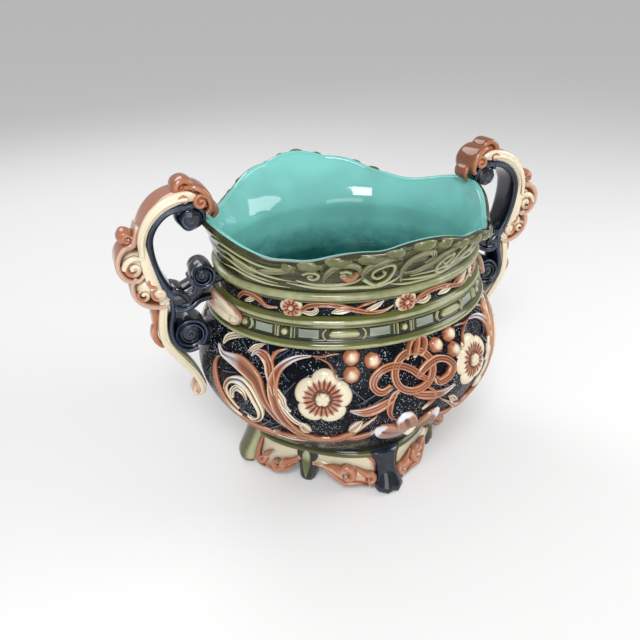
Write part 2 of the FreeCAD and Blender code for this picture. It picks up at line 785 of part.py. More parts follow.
back_leaf_blank = side_body("back_leaf", [([back_leaf_outline()], "sizes.scroll_width * 0.5")])
back_leaf = cut("back_leaf", back_leaf_blank, scroll, lobes)

both_sides("arm", "handle_arm_left", "handle_arm_right", arm)
both_sides("ball", "handle_ball_left", "handle_ball_right", ball)
both_sides("leaf", "handle_leaf_left", "handle_leaf_right", leaf)
both_sides("lobes", "handle_lobes_left", "handle_lobes_right", lobes)
both_sides("crest", "handle_crest_left", "handle_crest_right", crest)
both_sides("stem", "handle_volute_left", "handle_volute_right", stem)
both_sides("scroll", "handle_scroll_left", "handle_scroll_right", scroll)
both_sides("low_volute", "handle_low_volute_left", "handle_low_volute_right", low_volute)
both_sides("back_leaf", "handle_back_leaf_left", "handle_back_leaf_right", back_leaf)


def clasp_shape():
    """Skin over the belt that the clasping leaves are cut from."""
    low, high = size("belt_height"), FRIEZE_HEIGHT
    out = size("belt_bulge") + size("clasp_thickness")
    inside = [(wall_radius(low), low), (wall_radius(high), high)]
    return ring_of(inside + [(radius + out, height) for radius, height in inside[::-1]])


clasp_leaf = [(-14, -11), (-4, -12.5), (6, -9), (16, 1), (18, 9), (10, 12), (-2, 12.5), (-14, 9)]
clasp_raw = ornament(
    "clasp_raw",
    [[clasp_leaf]],
    -13.0,
    size("belt_height") + size("belt_width") / 2,
    size("neck_radius"),
    shaped("clasp_skin", clasp_shape()),
)
clasp = cut("clasp", clasp_raw, belt, cartouches, stem, low_volute)
quarter_nodes("belt_clasp", clasp)

# ---------------------------------------------------------------------------------------------
# Relief on the belly and the neck: outlines cut out of a skin over the wall
# ---------------------------------------------------------------------------------------------


def belly_skin(rise):
    inside = [level(radius, height) for radius, height in belly_levels()]
    outside = [level(radius, height) for radius, height in belly_levels(rise)]
    return ring_solid(inside + outside[::-1])


def petals(radius, count, first, notch):
    """Outline of a flower seen from the front, four points to a petal."""
    points = []
    for i in range(count):
        for share, reach in ((-0.5, 1 - notch), (-0.26, 0.98), (0.0, 1.0), (0.26, 0.98)):
            turn = math.radians(first + 360.0 * (i + share) / count)
            points.append((radius * reach * math.cos(turn), radius * reach * math.sin(turn)))
    return points


def strap(x, y, radius, width, start, end):
    outside = arc(x, y, radius + width / 2, start, end)
    return outside + arc(x, y, radius - width / 2, end, start)


def ring_loops(x, y, radius, width):
    return [disc(x, y, radius + width / 2), disc(x, y, radius - width / 2)]


def fan(radius):
    """Half-opened flower on a short root."""
    points = [(-radius * 0.25, 0)]
    for i in range(9):
        turn = math.radians(170.0 - 20.0 * i)
        reach = radius * (1.0 if i % 2 == 0 else 0.84)
        points.append((reach * math.cos(turn), reach * math.sin(turn)))
    return points + [(radius * 0.25, 0)]


def round_drop(x, z, radius):
    """Eight-sided outline of a berry."""
    return [(x + dx, z + dz) for dx, dz in arc(0, 0, radius, 0, 360, 45.0)[:-1]]


def neck_skin():
    seat = size("neck_radius")
    low, high = FRIEZE_HEIGHT, RIM_HEIGHT - size("roll_height")
    out = seat + size("neck_relief")
    return ring_of([(seat, low), (out, low), (out, high), (seat, high)])


low_skin = shaped("relief_skin", belly_skin(size("relief")))
high_skin = shaped("eye_skin", belly_skin(size("relief") * 1.35))
flower_at = FRONT + size("flower_turn")
flower_z, knot_z = BELLY_HEIGHT + size("flower_rise"), BELLY_HEIGHT + size("knot_rise")
blossom_outline = petals(size("flower_radius"), 5, 90, 0.3)
blossom = ornament("blossom", [[blossom_outline]], flower_at, flower_z, BELLY, low_skin)
eye_outline = disc(0, 0, size("flower_radius") * 0.27)
eye = ornament("blossom_eye", [[eye_outline]], flower_at, flower_z, BELLY, high_skin)
flower = doc.addObject("Part::MultiFuse", "flower")
flower.Shapes = [blossom, eye]
stem_ends = (size("stem_start"), size("stem_start") - size("stem_turn"))
vine_outline = strap(0, 0, size("stem_radius"), size("stem_band"), *stem_ends)
vine_raw = ornament("vine_raw", [[vine_outline]], flower_at, flower_z, BELLY, low_skin)

ring, loop, strand = size("knot_ring"), size("knot_loop"), size("knot_band")
knot_outlines = [ring_loops(0, 0, ring, strand)]
knot_outlines += [ring_loops(side * (ring - strand / 2), -ring * 0.3, loop, strand) for side in (-1, 1)]
knot_front = ornament("knot_front", knot_outlines, FRONT, knot_z, BELLY, low_skin)
fan_z = BELLY_HEIGHT - size("fan_drop")
fan_front = ornament("fan_front", [[fan(size("fan_radius"))]], FRONT, fan_z, BELLY, low_skin)
vine = cut("vine", vine_raw, knot_front)
quarter_nodes("belly_flower", flower)
quarter_nodes("belly_vine", vine)
node("knot_front", knot_front)
node("knot_back", mirrored("knot_back_mirror", knot_front, ALONG))
node("fan_flower_front", fan_front)
node("fan_flower_back", mirrored("fan_back_mirror", fan_front, ALONG))

# berries beside the knot, three to a bunch
berry = size("berry_radius")
berry_at, berry_z = FRONT + size("berry_turn"), BELLY_HEIGHT + size("berry_rise")
bunch = []
for i, (x, z) in enumerate(((0.6, 1), (0.6, -1), (-1.2, 0))):
    drop = round_drop(x * berry, z * berry, berry * 0.94)
    bunch.append(ornament(f"berry_{i}", [[drop]], berry_at, berry_z, BELLY, low_skin))
node("knot_berries", group("berries", four_ways("bunch", group("bunch", bunch))))

# flowers round the neck
neck_ring = shaped("neck_skin", neck_skin())
neck_count = round(size("neck_flowers"))
neck_outline = petals(size("neck_flower_radius"), 5, 90, 0.3)
neck_z = FRIEZE_HEIGHT + (size("neck_width") - size("roll_height")) / 2
neck_flowers = []
for i in range(neck_count):
    turn = FRONT + 360.0 * i / neck_count
    if abs(math.cos(math.radians(turn))) < 0.9:
        neck_flowers.append(
            ornament(f"neck_flower_{i}", [[neck_outline]], turn, neck_z, size("neck_radius"), neck_ring)
        )
node("neck_flowers", group("neck_flower_ring", neck_flowers))

# ---------------------------------------------------------------------------------------------
# Writing
# ---------------------------------------------------------------------------------------------


def check_and_write():
    doc.recompute()
    for item in doc.Objects:
        if "Invalid" in item.State or "Error" in item.State:
            raise RuntimeError(f"{item.Name} failed: {item.State}")
    for piece in nodes:
        if piece.Shape.isNull() or not piece.Shape.isValid() or not piece.Shape.Solids:
            raise RuntimeError(f"{piece.Label} has no valid solid")
    os.makedirs("parts", exist_ok=True)
    for piece in nodes:
        piece.Shape.exportStep(f"parts/{piece.Label}.step")
        print(f"{piece.Label}: {len(piece.Shape.Solids)} solid(s), {piece.Shape.Volume / 1000:.1f} cm3")


check_and_write()
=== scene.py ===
import math

import bpy
from mathutils import Matrix, Vector


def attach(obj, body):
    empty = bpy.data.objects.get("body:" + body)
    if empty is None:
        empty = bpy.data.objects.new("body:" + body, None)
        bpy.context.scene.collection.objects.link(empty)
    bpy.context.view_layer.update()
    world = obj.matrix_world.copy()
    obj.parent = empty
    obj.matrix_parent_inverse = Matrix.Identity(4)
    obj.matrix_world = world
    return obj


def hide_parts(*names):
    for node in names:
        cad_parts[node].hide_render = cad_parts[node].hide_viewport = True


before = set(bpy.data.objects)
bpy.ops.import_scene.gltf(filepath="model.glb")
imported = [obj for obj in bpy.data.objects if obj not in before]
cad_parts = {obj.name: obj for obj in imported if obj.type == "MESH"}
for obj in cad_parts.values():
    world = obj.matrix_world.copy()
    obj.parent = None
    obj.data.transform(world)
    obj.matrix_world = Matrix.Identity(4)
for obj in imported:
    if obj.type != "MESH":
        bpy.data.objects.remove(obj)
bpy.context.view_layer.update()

# ---------------------------------------------------------------------------------------------
# The pot's form, in millimetres: an oval section, a "turn" in degrees round it, 270 at the front
# ---------------------------------------------------------------------------------------------

DEPTH = 0.873  # depth of the oval over its width
BASE, BELLY, WAIST, NECK = 91.0, 145.0, 126.0, 119.0  # half-widths, ground up
BASE_Z, BELLY_Z, BELT_Z, FRIEZE_Z, RIM_Z = 40.0, 120.0, 171.0, 197.0, 217.0
SHOULDER = 75.0  # degrees of a cosine that the shoulder runs through between belly and belt
FLARE = 1.7  # power that the rim band flares with
WALL = 8.0
MM = 0.001


def body_radius(z):
    """Half-width along X of the pot's outside at a height."""
    if z <= BELLY_Z:
        share = max(0.0, (z - BASE_Z) / (BELLY_Z - BASE_Z))
        return BASE + (BELLY - BASE) * math.sin(math.radians(90 * share)) ** 0.92
    if z <= BELT_Z:
        share = (z - BELLY_Z) / (BELT_Z - BELLY_Z)
        drawn_in = (BELLY - WAIST) * (1 - math.cos(math.radians(SHOULDER * share)))
        return BELLY - drawn_in / (1 - math.cos(math.radians(SHOULDER)))
    if z <= FRIEZE_Z:
        return WAIST + (NECK - WAIST) * (z - BELT_Z) / (FRIEZE_Z - BELT_Z)
    return NECK


def oval(turn, radius, z):
    angle = math.radians(turn)
    return Vector((radius * math.cos(angle), DEPTH * radius * math.sin(angle), z))


def surface_frame(place, turn, level, step_turn=0.4, step_level=0.4):
    """Point and outward normal of a surface given by place(turn, level)."""
    along = place(turn + step_turn, level) - place(turn - step_turn, level)
    up = place(turn, level + step_level) - place(turn, level - step_level)
    return place(turn, level), along.cross(up).normalized()


def wall(turn, z):
    """The outside of belly, belt and neck."""
    return surface_frame(lambda t, h: oval(t, body_radius(h), h), turn, z)


def wave(side, diagonal, front, turn):
    double = math.radians(2 * turn)
    mean = (side + front) / 4 + diagonal / 2
    peaks = (side + front) / 4 - diagonal / 2
    return mean + (side - front) / 2 * math.cos(double) + peaks * math.cos(2 * double)


# Where a lobe of the lip is, from the front, how wide and how high, the same at the back
SCALLOPS = ((0, 9, 2.0), (24, 8, 2.2), (-24, 8, 2.2), (41, 6, 1.4), (-41, 6, 1.4))
SCALLOPS += ((12, 4, -1.6), (-12, 4, -1.6))


def scallop(turn):
    """Small lobes on the lip, the same at front and back."""
    off = (turn - 270 + 90) % 180 - 90
    return sum(rise * math.exp(-(((off - at) / width) ** 2)) for at, width, rise in SCALLOPS)


def lip_z(turn):
    return wave(257.0, 243.5, 264.5, turn) + scallop(turn)


def lip_radius(turn):
    return wave(130.0, 131.5, 160.0, turn)


def flare(turn, share, inset=0.0):
    """A point on the rim band, share 0 at its foot and 1 at its lip, set in from the outside."""
    share = max(share, 0.0)
    z = RIM_Z + (lip_z(turn) - RIM_Z) * share
    return oval(turn, NECK + (lip_radius(turn) - NECK) * share**FLARE - inset, z)


def rim(turn, share):
    """The outside of the rim band."""
    return surface_frame(flare, turn, share, 0.4, 0.02)


def plinth_radius(turn):
    return wave(101.0, 93.0, 101.0, turn)


SKIRT_Z, SKIRT_INSET, SKIRT_SPREAD = 33.0, 2.3, 12.0


def skirt(turn, z):
    """The leaning outside of the apron panels under the plinth."""

    def place(t, h):
        return oval(t, plinth_radius(t) - SKIRT_INSET + SKIRT_SPREAD * (SKIRT_Z - h) / SKIRT_Z, h)

    return surface_frame(place, turn, z)


def flank(y):
    """A side face of a handle, at a distance y from the handles' plane."""
    side = 1 if y > 0 else -1
    return lambda x, z: (Vector((x, y, z)), Vector((0, side, 0)))


# ---------------------------------------------------------------------------------------------
# Working with pieces
# ---------------------------------------------------------------------------------------------


def deselect():
    if bpy.context.mode != "OBJECT":
        bpy.ops.object.mode_set(mode="OBJECT")
    bpy.ops.object.select_all(action="DESELECT")


def pick(piece):
    deselect()
    piece.select_set(True)
    bpy.context.view_layer.objects.active = piece


def edit_mesh(piece, operator, **settings):
    """Runs an operator on the whole of a piece in edit mode."""
    pick(piece)
    bpy.ops.object.mode_set(mode="EDIT")
    bpy.ops.mesh.select_all(action="SELECT")
    operator(**settings)
    bpy.ops.object.mode_set(mode="OBJECT")


def tidy_normals(piece):
    edit_mesh(piece, bpy.ops.mesh.normals_make_consistent, inside=False)


def ball(name, segments, rings):
    deselect()
    bpy.ops.mesh.primitive_uv_sphere_add(segments=segments, ring_count=rings, radius=1, location=(0, 0, 0))
    piece = bpy.context.object
    piece.name = name
    return piece


def glaze_layer(piece):
    """Where a piece stores how much second, third and dark glaze each of its points takes."""
    return piece.data.attributes.new("glaze", "FLOAT_VECTOR", "POINT").data


def weights(piece, paint):
    """Gives each point of a piece the glazes that paint says for its place."""
    layer = glaze_layer(piece)
    for index, vertex in enumerate(piece.data.vertices):
        layer[index].vector = paint(vertex.co)


def join(pieces, name):
    deselect()
    for piece in pieces:
        piece.select_set(True)
    bpy.context.view_layer.objects.active = pieces[0]
    if len(pieces) > 1:
        bpy.ops.object.join()
    pieces[0].name = name
    pieces[0].data.name = name
    return pieces[0]


def hand_over(piece, material, *nodes, crease=None):
    """Scales a finished piece from millimetres, dresses it and puts it on the pot.

    Its edges that bend by more than crease degrees stay sharp.
    """
    piece.data.transform(Matrix.Scale(MM, 4))
    piece.data.materials.clear()
    piece.data.materials.append(material)
    pick(piece)
    if crease is None:
        bpy.ops.object.shade_smooth()
    else:
        bpy.ops.object.shade_smooth_by_angle(angle=math.radians(crease))
    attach(piece, "root")
    for node in nodes:
        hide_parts(node)
    deselect()


def copy_of(template, name):
    piece = template.copy()
    piece.data = template.data.copy()
    piece.name = name
    bpy.context.collection.objects.link(piece)
    return piece


def mirrored(piece, name, axis):
    """A copy on the other side of the pot."""
    twin = copy_of(piece, name)
    flip = Vector((1, 1, 1))
    flip[axis] = -1
    twin.data.transform(Matrix.Diagonal(flip.to_4d()))
    twin.data.flip_normals()
    return twin


# ---------------------------------------------------------------------------------------------
# Glazes
# ---------------------------------------------------------------------------------------------


def node(tree, kind, **inputs):
    made = tree.nodes.new(kind)
    for name, value in inputs.items():
        made.inputs[name.replace("_", " ")].default_value = value
    return made


def mix(tree, share, low, high):
    """Blends two colours, or links, by a share that is a link."""
    made = tree.nodes.new("ShaderNodeMix")
    made.data_type = "RGBA"
    tree.links.new(share, made.inputs["Factor"])
    for socket, value in (("A", low), ("B", high)):
        target = next(i for i in made.inputs if i.name == socket and i.type == "RGBA")
        if hasattr(value, "is_linked"):
            tree.links.new(value, target)
        else:
            target.default_value = (*value, 1)
    return next(o for o in made.outputs if o.type == "RGBA")


def ramp(tree, source, low, high):
    """Runs a link from 0 to 1 between two values."""
    made = tree.nodes.new("ShaderNodeMapRange")
    made.interpolation_type = "SMOOTHSTEP"
    made.inputs["From Min"].default_value = low
    made.inputs["From Max"].default_value = high
    tree.links.new(source, made.inputs["Value"])
    return made.outputs["Result"]


def combine(tree, operation, one, other):
    made = tree.nodes.new("ShaderNodeMath")
    made.operation = operation
    for socket, value in zip(made.inputs, (one, other)):
        if hasattr(value, "is_linked"):
            tree.links.new(value, socket)
        else:
            socket.default_value = value
    return made.outputs["Value"]


def glaze(
    name, base, second=None, third=None, pool_and_shade=None, edge=None, punched=None, roughness=0.12, mottle=0.35
):
    """Glossy glaze on moulded clay.

    second, third and dark glazes go where the piece's own attribute asks for them; the pool colour
    is glaze pooled in the recesses together with painted shade there, and edge the colour where the
    glaze runs thin on ridges; punched is the colour of painted highlight glints on the dots of a
    punched ground.
    """
    material = bpy.data.materials.new(name)
    material.use_nodes = True
    tree = material.node_tree
    shader = tree.nodes["Principled BSDF"]
    shader.inputs["Roughness"].default_value = roughness
    shader.inputs["IOR"].default_value = 1.5
    shader.inputs["Coat Weight"].default_value = 0.35
    shader.inputs["Coat Roughness"].default_value = 0.05
    place = tree.nodes.new("ShaderNodeTexCoord").outputs["Object"]
    cloud = node(tree, "ShaderNodeTexNoise", Scale=70.0, Detail=4.0, Roughness=0.6)
    tree.links.new(place, cloud.inputs["Vector"])
    soft = node(tree, "ShaderNodeTexNoise", Scale=18.0, Detail=2.0)
    tree.links.new(place, soft.inputs["Vector"])
    shade = tuple(channel * (1 - mottle) for channel in base)
    colour = mix(tree, ramp(tree, soft.outputs["Fac"], 0.35, 0.68), base, shade)
    wanted = tree.nodes.new("ShaderNodeAttribute")
    wanted.attribute_name = "glaze"
    split = tree.nodes.new("ShaderNodeSeparateXYZ")
    tree.links.new(wanted.outputs["Vector"], split.inputs["Vector"])
    for axis, tone in (("X", second), ("Y", third), ("Z", pool_and_shade)):
        if tone is None:
            continue
        ragged = combine(tree, "MULTIPLY_ADD", cloud.outputs["Fac"], 0.5)
        ragged.node.inputs[2].default_value = -0.25
        share = ramp(tree, combine(tree, "ADD", split.outputs[axis], ragged), 0.2, 0.8)
        colour = mix(tree, share, colour, tone)
    bend = tree.nodes.new("ShaderNodeNewGeometry").outputs["Pointiness"]
    # Low pointiness, in the recesses, takes the pool colour: glaze pooled there and painted shade.
    if pool_and_shade is not None:
        colour = mix(tree, ramp(tree, bend, 0.498, 0.455), colour, pool_and_shade)
    if edge is not None:
        colour = mix(tree, ramp(tree, bend, 0.53, 0.62), colour, edge)
    skin = node(tree, "ShaderNodeBump", Strength=0.15, Distance=0.0008)
    tree.links.new(cloud.outputs["Fac"], skin.inputs["Height"])
    if punched is not None:
        # The punched colour goes on the centres of the dots, in patches, as painted highlight glints.
        dots = node(tree, "ShaderNodeTexVoronoi", Scale=520.0)
        tree.links.new(place, dots.inputs["Vector"])
        shader.inputs["Coat Weight"].default_value = 0.0
        shader.inputs["IOR"].default_value = 1.25
        patchy = ramp(tree, cloud.outputs["Fac"], 0.42, 0.56)
        painted_glints = combine(tree, "MULTIPLY", ramp(tree, dots.outputs["Distance"], 0.36, 0.2), patchy)
        colour = mix(tree, painted_glints, colour, punched)
        bump = node(tree, "ShaderNodeBump", Strength=1.0, Distance=0.0012)
        tree.links.new(ramp(tree, dots.outputs["Distance"], 0.5, 0.1), bump.inputs["Height"])
        tree.links.new(skin.outputs["Normal"], bump.inputs["Normal"])
        skin = bump
    tree.links.new(colour, shader.inputs["Base Color"])
    tree.links.new(skin.outputs["Normal"], shader.inputs["Normal"])
    return material


INK = (0.0025, 0.004, 0.009)
NAVY = (0.004, 0.007, 0.017)
# Slate blue: the colour of painted highlights on the navy glaze.
SLATE_HIGHLIGHT = (0.045, 0.07, 0.12)
OLIVE = (0.115, 0.125, 0.03)
MOSS = (0.01, 0.015, 0.004)
REED = (0.46, 0.47, 0.26)
GREY_GREEN = (0.27, 0.31, 0.24)
CREAM = (0.82, 0.72, 0.52)
SALMON = (0.46, 0.165, 0.08)
BROWN = (0.36, 0.11, 0.045)
RUST = (0.13, 0.03, 0.012)
FROST = (0.72, 0.78, 0.86)
SEA = (0.22, 0.64, 0.59)
# Teal is painted shade, for the depths inside the bowl.
TEAL = (0.015, 0.17, 0.165)

ground_glaze = glaze("ink_ground_glaze", INK, pool_and_shade=(0.001, 0.002, 0.005), punched=(0.45, 0.52, 0.62))
navy_glaze = glaze("navy_glaze", NAVY, second=SLATE_HIGHLIGHT, pool_and_shade=INK, edge=(0.03, 0.05, 0.1))
olive_glaze = glaze("olive_glaze", OLIVE, second=REED, third=INK, pool_and_shade=MOSS, edge=REED)
panel_glaze = glaze("grey_green_glaze", GREY_GREEN, second=OLIVE, third=INK, pool_and_shade=MOSS, edge=(0.6, 0.62, 0.5))
cream_glaze = glaze(
    "cream_glaze", CREAM, second=SALMON, third=FROST, pool_and_shade=RUST, edge=(0.9, 0.84, 0.68), mottle=0.12
)
salmon_glaze = glaze(
    "salmon_glaze", SALMON, second=CREAM, third=FROST, pool_and_shade=RUST, edge=(0.7, 0.36, 0.2), mottle=0.45
)
crest_glaze = glaze("brown_glaze", BROWN, second=SALMON, third=CREAM, pool_and_shade=RUST, edge=(0.62, 0.3, 0.16))
sea_glaze = glaze("turquoise_glaze", SEA, second=TEAL, roughness=0.05, mottle=0.18)


# ---------------------------------------------------------------------------------------------
# Relief: everything modelled one by one is a rod drawn along a path, a blossom or a berry
# ---------------------------------------------------------------------------------------------

RINGS, SIDES = 40, 16
ROUND = (0.0, 0.38, 0.71, 0.92, 1.0)  # height of a cross-section from its edge to its middle
LEAF = (0.0, 1.0, 0.74, 0.5, 0.66)
STRAP = (0.0, 0.9, 1.0, 0.62, 0.55)
FLAT = (0.0, 0.85, 0.97, 1.0, 1.0)
RIBBON = (0.5, 0.86, 0.96, 1.0, 1.0)
LEAF_BACK = (0.45, 0.8, 0.92, 0.9, 1.05)
SCROLL_BACK = (0.45, 0.8, 0.92, 0.9, 1.0)
CURLED = (0.4, 0.8, 0.8, 0.9, 1.1)


def draw_rod():
    """Rod of unit radius and length along Z: a closed ring drawn out level by level."""
    deselect()
    bpy.ops.mesh.primitive_circle_add(vertices=SIDES, radius=1, fill_type="NGON", location=(0, 0, 0))
    rod = bpy.context.object
    bpy.ops.object.mode_set(mode="EDIT")
    bpy.ops.mesh.select_all(action="SELECT")
    for _ in range(RINGS):
        bpy.ops.mesh.extrude_region_move(TRANSFORM_OT_translate={"value": (0, 0, 1 / RINGS)})
    bpy.ops.object.mode_set(mode="OBJECT")
    return rod


def along_rows(rows, share):
    """Smooth run through rows of numbers, share 0 at the first row and 1 at the last."""
    spans = len(rows) - 1
    at = min(max(share, 0.0) * spans, spans - 1e-6)
    i = int(at)
    t = at - i
    around = (rows[max(i - 1, 0)], rows[i], rows[i + 1], rows[min(i + 2, spans)])
    return [
        0.5 * (2 * b + (c - a) * t + (2 * a - 5 * b + 4 * c - d) * t * t + (3 * b - a - 3 * c + d) * t**3)
        for a, b, c, d in zip(*around)
    ]


def strung(name, frames, section, paint, plump=1.0):
    """The rod strung along frames(share): point, out, across, half width, height and depth."""
    piece = copy_of(ROD, name)
    layer = glaze_layer(piece)
    levels = {}
    for index, vertex in enumerate(piece.data.vertices):
        share = round(vertex.co.z * RINGS) / RINGS
        if share not in levels:
            levels[share] = frames(share)
        point, out, across, half, high, deep = levels[share]
        angle = math.atan2(vertex.co.y, vertex.co.x)
        step = round(abs(math.degrees(angle)) * SIDES / 360)
        aside, top = math.cos(angle), math.sin(angle)
        rise = high * section[min(step, SIDES // 2 - step)] if top > -0.01 else -deep * abs(top) ** plump
        vertex.co = point + across * half * math.copysign(abs(aside) ** plump, aside) + out * rise
        layer[index].vector = paint(share, aside, top)
    tidy_normals(piece)
    return piece


def plain(share, aside, top):
    return (0.0, 0.0, 0.0)


def all_second(share, aside, top):
    return (0.9, 0.0, 0.0)


def second_tip(share, aside, top):
    return (max(0.0, 2.4 * share - 1.5), 0.0, 0.0)


def frost_tip(share, aside, top):
    return (0.0, max(0.0, 2.6 * share - 1.6), 0.0)


def pooled_and_shaded(paint):
    """The same glazes with a dark line where the piece meets its ground: pooled glaze and painted shade."""

    def with_pool_and_shade(share, aside, top):
        second, third, dark = paint(share, aside, top)
        return (second, third, max(dark, 0.95 - 2.3 * top))

    return with_pool_and_shade


def lay(name, surface, rows, section=ROUND, paint=plain, sink=2.5):
    """A rod laid on a surface; the rows hold its two surface places, half width and height."""

    def frames(share):
        a, b, half, high = along_rows(rows, share)
        point, out = surface(a, b)
        ahead = surface(*along_rows(rows, min(share + 0.01, 1.0))[:2])[0]
        behind = surface(*along_rows(rows, max(share - 0.01, 0.0))[:2])[0]
        across = out.cross(ahead - behind).normalized()
        return point, out, across, max(half, 0.15), max(high, 0.1), sink

    return strung(name, frames, section, pooled_and_shaded(paint))


def sweep(name, rows, section=RIBBON, paint=plain):
    """A ribbon in the plane of the handles; rows hold its x, z, half width and thickness."""
    across = Vector((0, 1, 0))

    def spot(share):
        x, z = along_rows(rows, share)[:2]
        return Vector((x, 0, z))

    def frames(share):
        half, thick = along_rows(rows, share)[2:4]
        run = spot(min(share + 0.01, 1.0)) - spot(max(share - 0.01, 0.0))
        out = run.cross(across).normalized()
        return spot(share), out, across, max(half, 0.3), max(thick, 0.4) / 2, max(thick, 0.4) / 2

    return strung(name, frames, section, paint, plump=0.6)


def coil(x, z, radius, start, turns, half, thick, inner=0.2, steps=9):
    """Rows of a spiral from its outside to its eye, turning the way of the sign of turns."""
    rows = []
    for i in range(steps + 1):
        share = i / steps
        reach = radius * (1 - (1 - inner) * share)
        angle = math.radians(start + 360 * turns * share)
        spot = (x + reach * math.cos(angle), z + reach * math.sin(angle))
        rows.append((*spot, half, thick * (1 - 0.45 * share)))
    return rows


def boss(name, x, z, radius, half, lumpy=0.0, second=0.0):
    """Rounded drum across a handle, or a ball where it is as wide as it is thick."""
    piece = ball(name, 32, 16)
    for vertex in piece.data.vertices:
        ring = math.hypot(vertex.co.x, vertex.co.y)
        wide = ring**0.5 / ring if ring > 1e-6 else 0.0
        swell = radius * wide * (1 + lumpy * math.sin(5 * vertex.co.x + 3) * math.cos(4 * vertex.co.y))
        vertex.co = Vector((x + swell * vertex.co.x, half * vertex.co.z, z + swell * vertex.co.y))
    weights(piece, lambda point: (second, 0.0, 0.0))
    tidy_normals(piece)
    return piece


def onto(piece, surface, a, b, paint, degrees=0.0):
    """Wraps a flat piece, drawn in X and Y with Z outwards, round a place on a surface."""
    speed_a = (surface(a + 1, b)[0] - surface(a - 1, b)[0]).length / 2
    speed_b = (surface(a, b + 1)[0] - surface(a, b - 1)[0]).length / 2
    turn = Matrix.Rotation(math.radians(degrees), 3, "Z")
    weights(piece, paint)
    for vertex in piece.data.vertices:
        flat = turn @ vertex.co
        point, out = surface(a + flat.x / speed_a, b + flat.y / speed_b)
        vertex.co = point + out * vertex.co.z
    tidy_normals(piece)
    return piece


def berry(name, surface, a, b, radius, rise, second=0.0):
    """Lumpy drop, half sunk into the surface, paler at its top as a painted highlight and dark round its foot as
    pooled glaze and painted shade.
    """
    piece = ball(name, 20, 12)
    for vertex in piece.data.vertices:
        x, y, z = vertex.co
        lump = 1 + 0.07 * math.sin(6 * x + a) * math.cos(5 * y + b)
        vertex.co = Vector((x * radius * lump, y * radius * lump, z * radius * rise))

    def highlit_top_shaded_foot(co):
        up = co.z / (radius * rise)
        return (second + max(0.0, 1.6 * up - 0.9), 0.0, max(0.0, 0.8 - 1.8 * up))

    return onto(piece, surface, a, b, highlit_top_shaded_foot)


PETALS = 5


def blossom(name, radius, height, rays, surface, a, b, degrees=0.0, flush=0.27):
    """Open flower: five round petals scored with rays round a ringed eye."""
    deselect()
    bpy.ops.mesh.primitive_circle_add(vertices=120, radius=1, fill_type="NGON", location=(0, 0, 0))
    piece = bpy.context.object
    piece.name = name
    bpy.ops.object.mode_set(mode="EDIT")
    bpy.ops.mesh.select_all(action="SELECT")
    bpy.ops.mesh.extrude_region_move(TRANSFORM_OT_translate={"value": (0, 0, 1)})
    for size in range(20, 1, -1):
        bpy.ops.mesh.extrude_region_move(TRANSFORM_OT_translate={"value": (0, 0, 0)})
        share = (size - 1) / size
        bpy.ops.transform.resize(value=(share, share, 1), center_override=(0, 0, 1))
    bpy.ops.mesh.poke()
    bpy.ops.object.mode_set(mode="OBJECT")
    for vertex in piece.data.vertices:
        away = math.hypot(vertex.co.x, vertex.co.y)
        angle = math.atan2(vertex.co.y, vertex.co.x)
        petal = 0.8 + 0.2 * abs(math.cos(PETALS * angle / 2)) ** 0.6
        edge = max(0.0, 1 - away**7)
        cup = 0.35 + 0.65 * away**1.3
        score = -0.2 * max(0.0, math.cos(rays * angle)) ** 2 * max(0.0, 1 - ((away - 0.52) / 0.27) ** 2)
        split = -0.4 * (1 - abs(math.cos(PETALS * angle / 2))) ** 3 * away
        eye = 0.75 * max(0.0, 1 - (away / 0.27) ** 4) - 0.3 * math.exp(-(((away - 0.3) / 0.035) ** 2))
        rise = height * (edge * (cup + score + split) + eye) if vertex.co.z > 0.5 else -2.0
        vertex.co = Vector((vertex.co.x * petal * radius, vertex.co.y * petal * radius, rise))

    def paint(co):
        away = math.hypot(co.x, co.y) / radius
        ray = max(0.0, math.cos(rays * math.atan2(co.y, co.x)))
        scored = ray**0.6 * max(0.0, 1 - ((away - 0.46) / 0.26) ** 2) * 1.3
        ringed = 1.2 * math.exp(-(((away - 0.29) / 0.055) ** 2))
        washed = 0.85 * max(0.0, 1 - ((away - 0.42) / flush) ** 2)
        # Points low by the wall take the dark glaze too: pooled glaze and painted shade where the flower meets
        # it.
        return (washed, 0.0, min(1.0, max(scored, ringed, 1.0 - (co.z + 0.3) / 1.1)))

    return onto(piece, surface, a, b, paint, degrees)


ROD = draw_rod()


# ---------------------------------------------------------------------------------------------
# Where pieces go: four quarters, front and back, two handles
# ---------------------------------------------------------------------------------------------


def half_turned(piece):
    twin = copy_of(piece, "twin")
    twin.data.transform(Matrix.Diagonal((-1, -1, 1, 1)))
    return twin


def give_places(stem, pieces, material, in_cad=True, crease=None):
    """Hands the copies of a piece over, each named after its place."""
    for place, piece in pieces.items():
        name = f"{stem}_{place}"
        piece.name = f"{name}_glazed"
        hand_over(piece, material, *([name] if in_cad else []), crease=crease)


def quarters(stem, parts, material, **settings):
    """A piece of the front left quarter and its three reflections."""
    piece = join(parts, stem)
    right = mirrored(piece, "twin", 0)
    pieces = {"front_left": piece, "front_right": right, "back_left": mirrored(piece, "twin", 1)}
    pieces["back_right"] = mirrored(right, "twin", 1)
    give_places(stem, pieces, material, **settings)


def front_and_back(stem, parts, material, **settings):
    piece = join(parts, stem)
    give_places(stem, {"front": piece, "back": half_turned(piece)}, material, **settings)


def handles(stem, parts, material):
    piece = join(parts, stem)
    give_places(stem, {"right": piece, "left": mirrored(piece, "twin", 0)}, material, crease=60.0)


# ---------------------------------------------------------------------------------------------
# Turned forms: bowl, rim band, rolls, belt and plinth
# ---------------------------------------------------------------------------------------------

AROUND = 240  # points round the oval


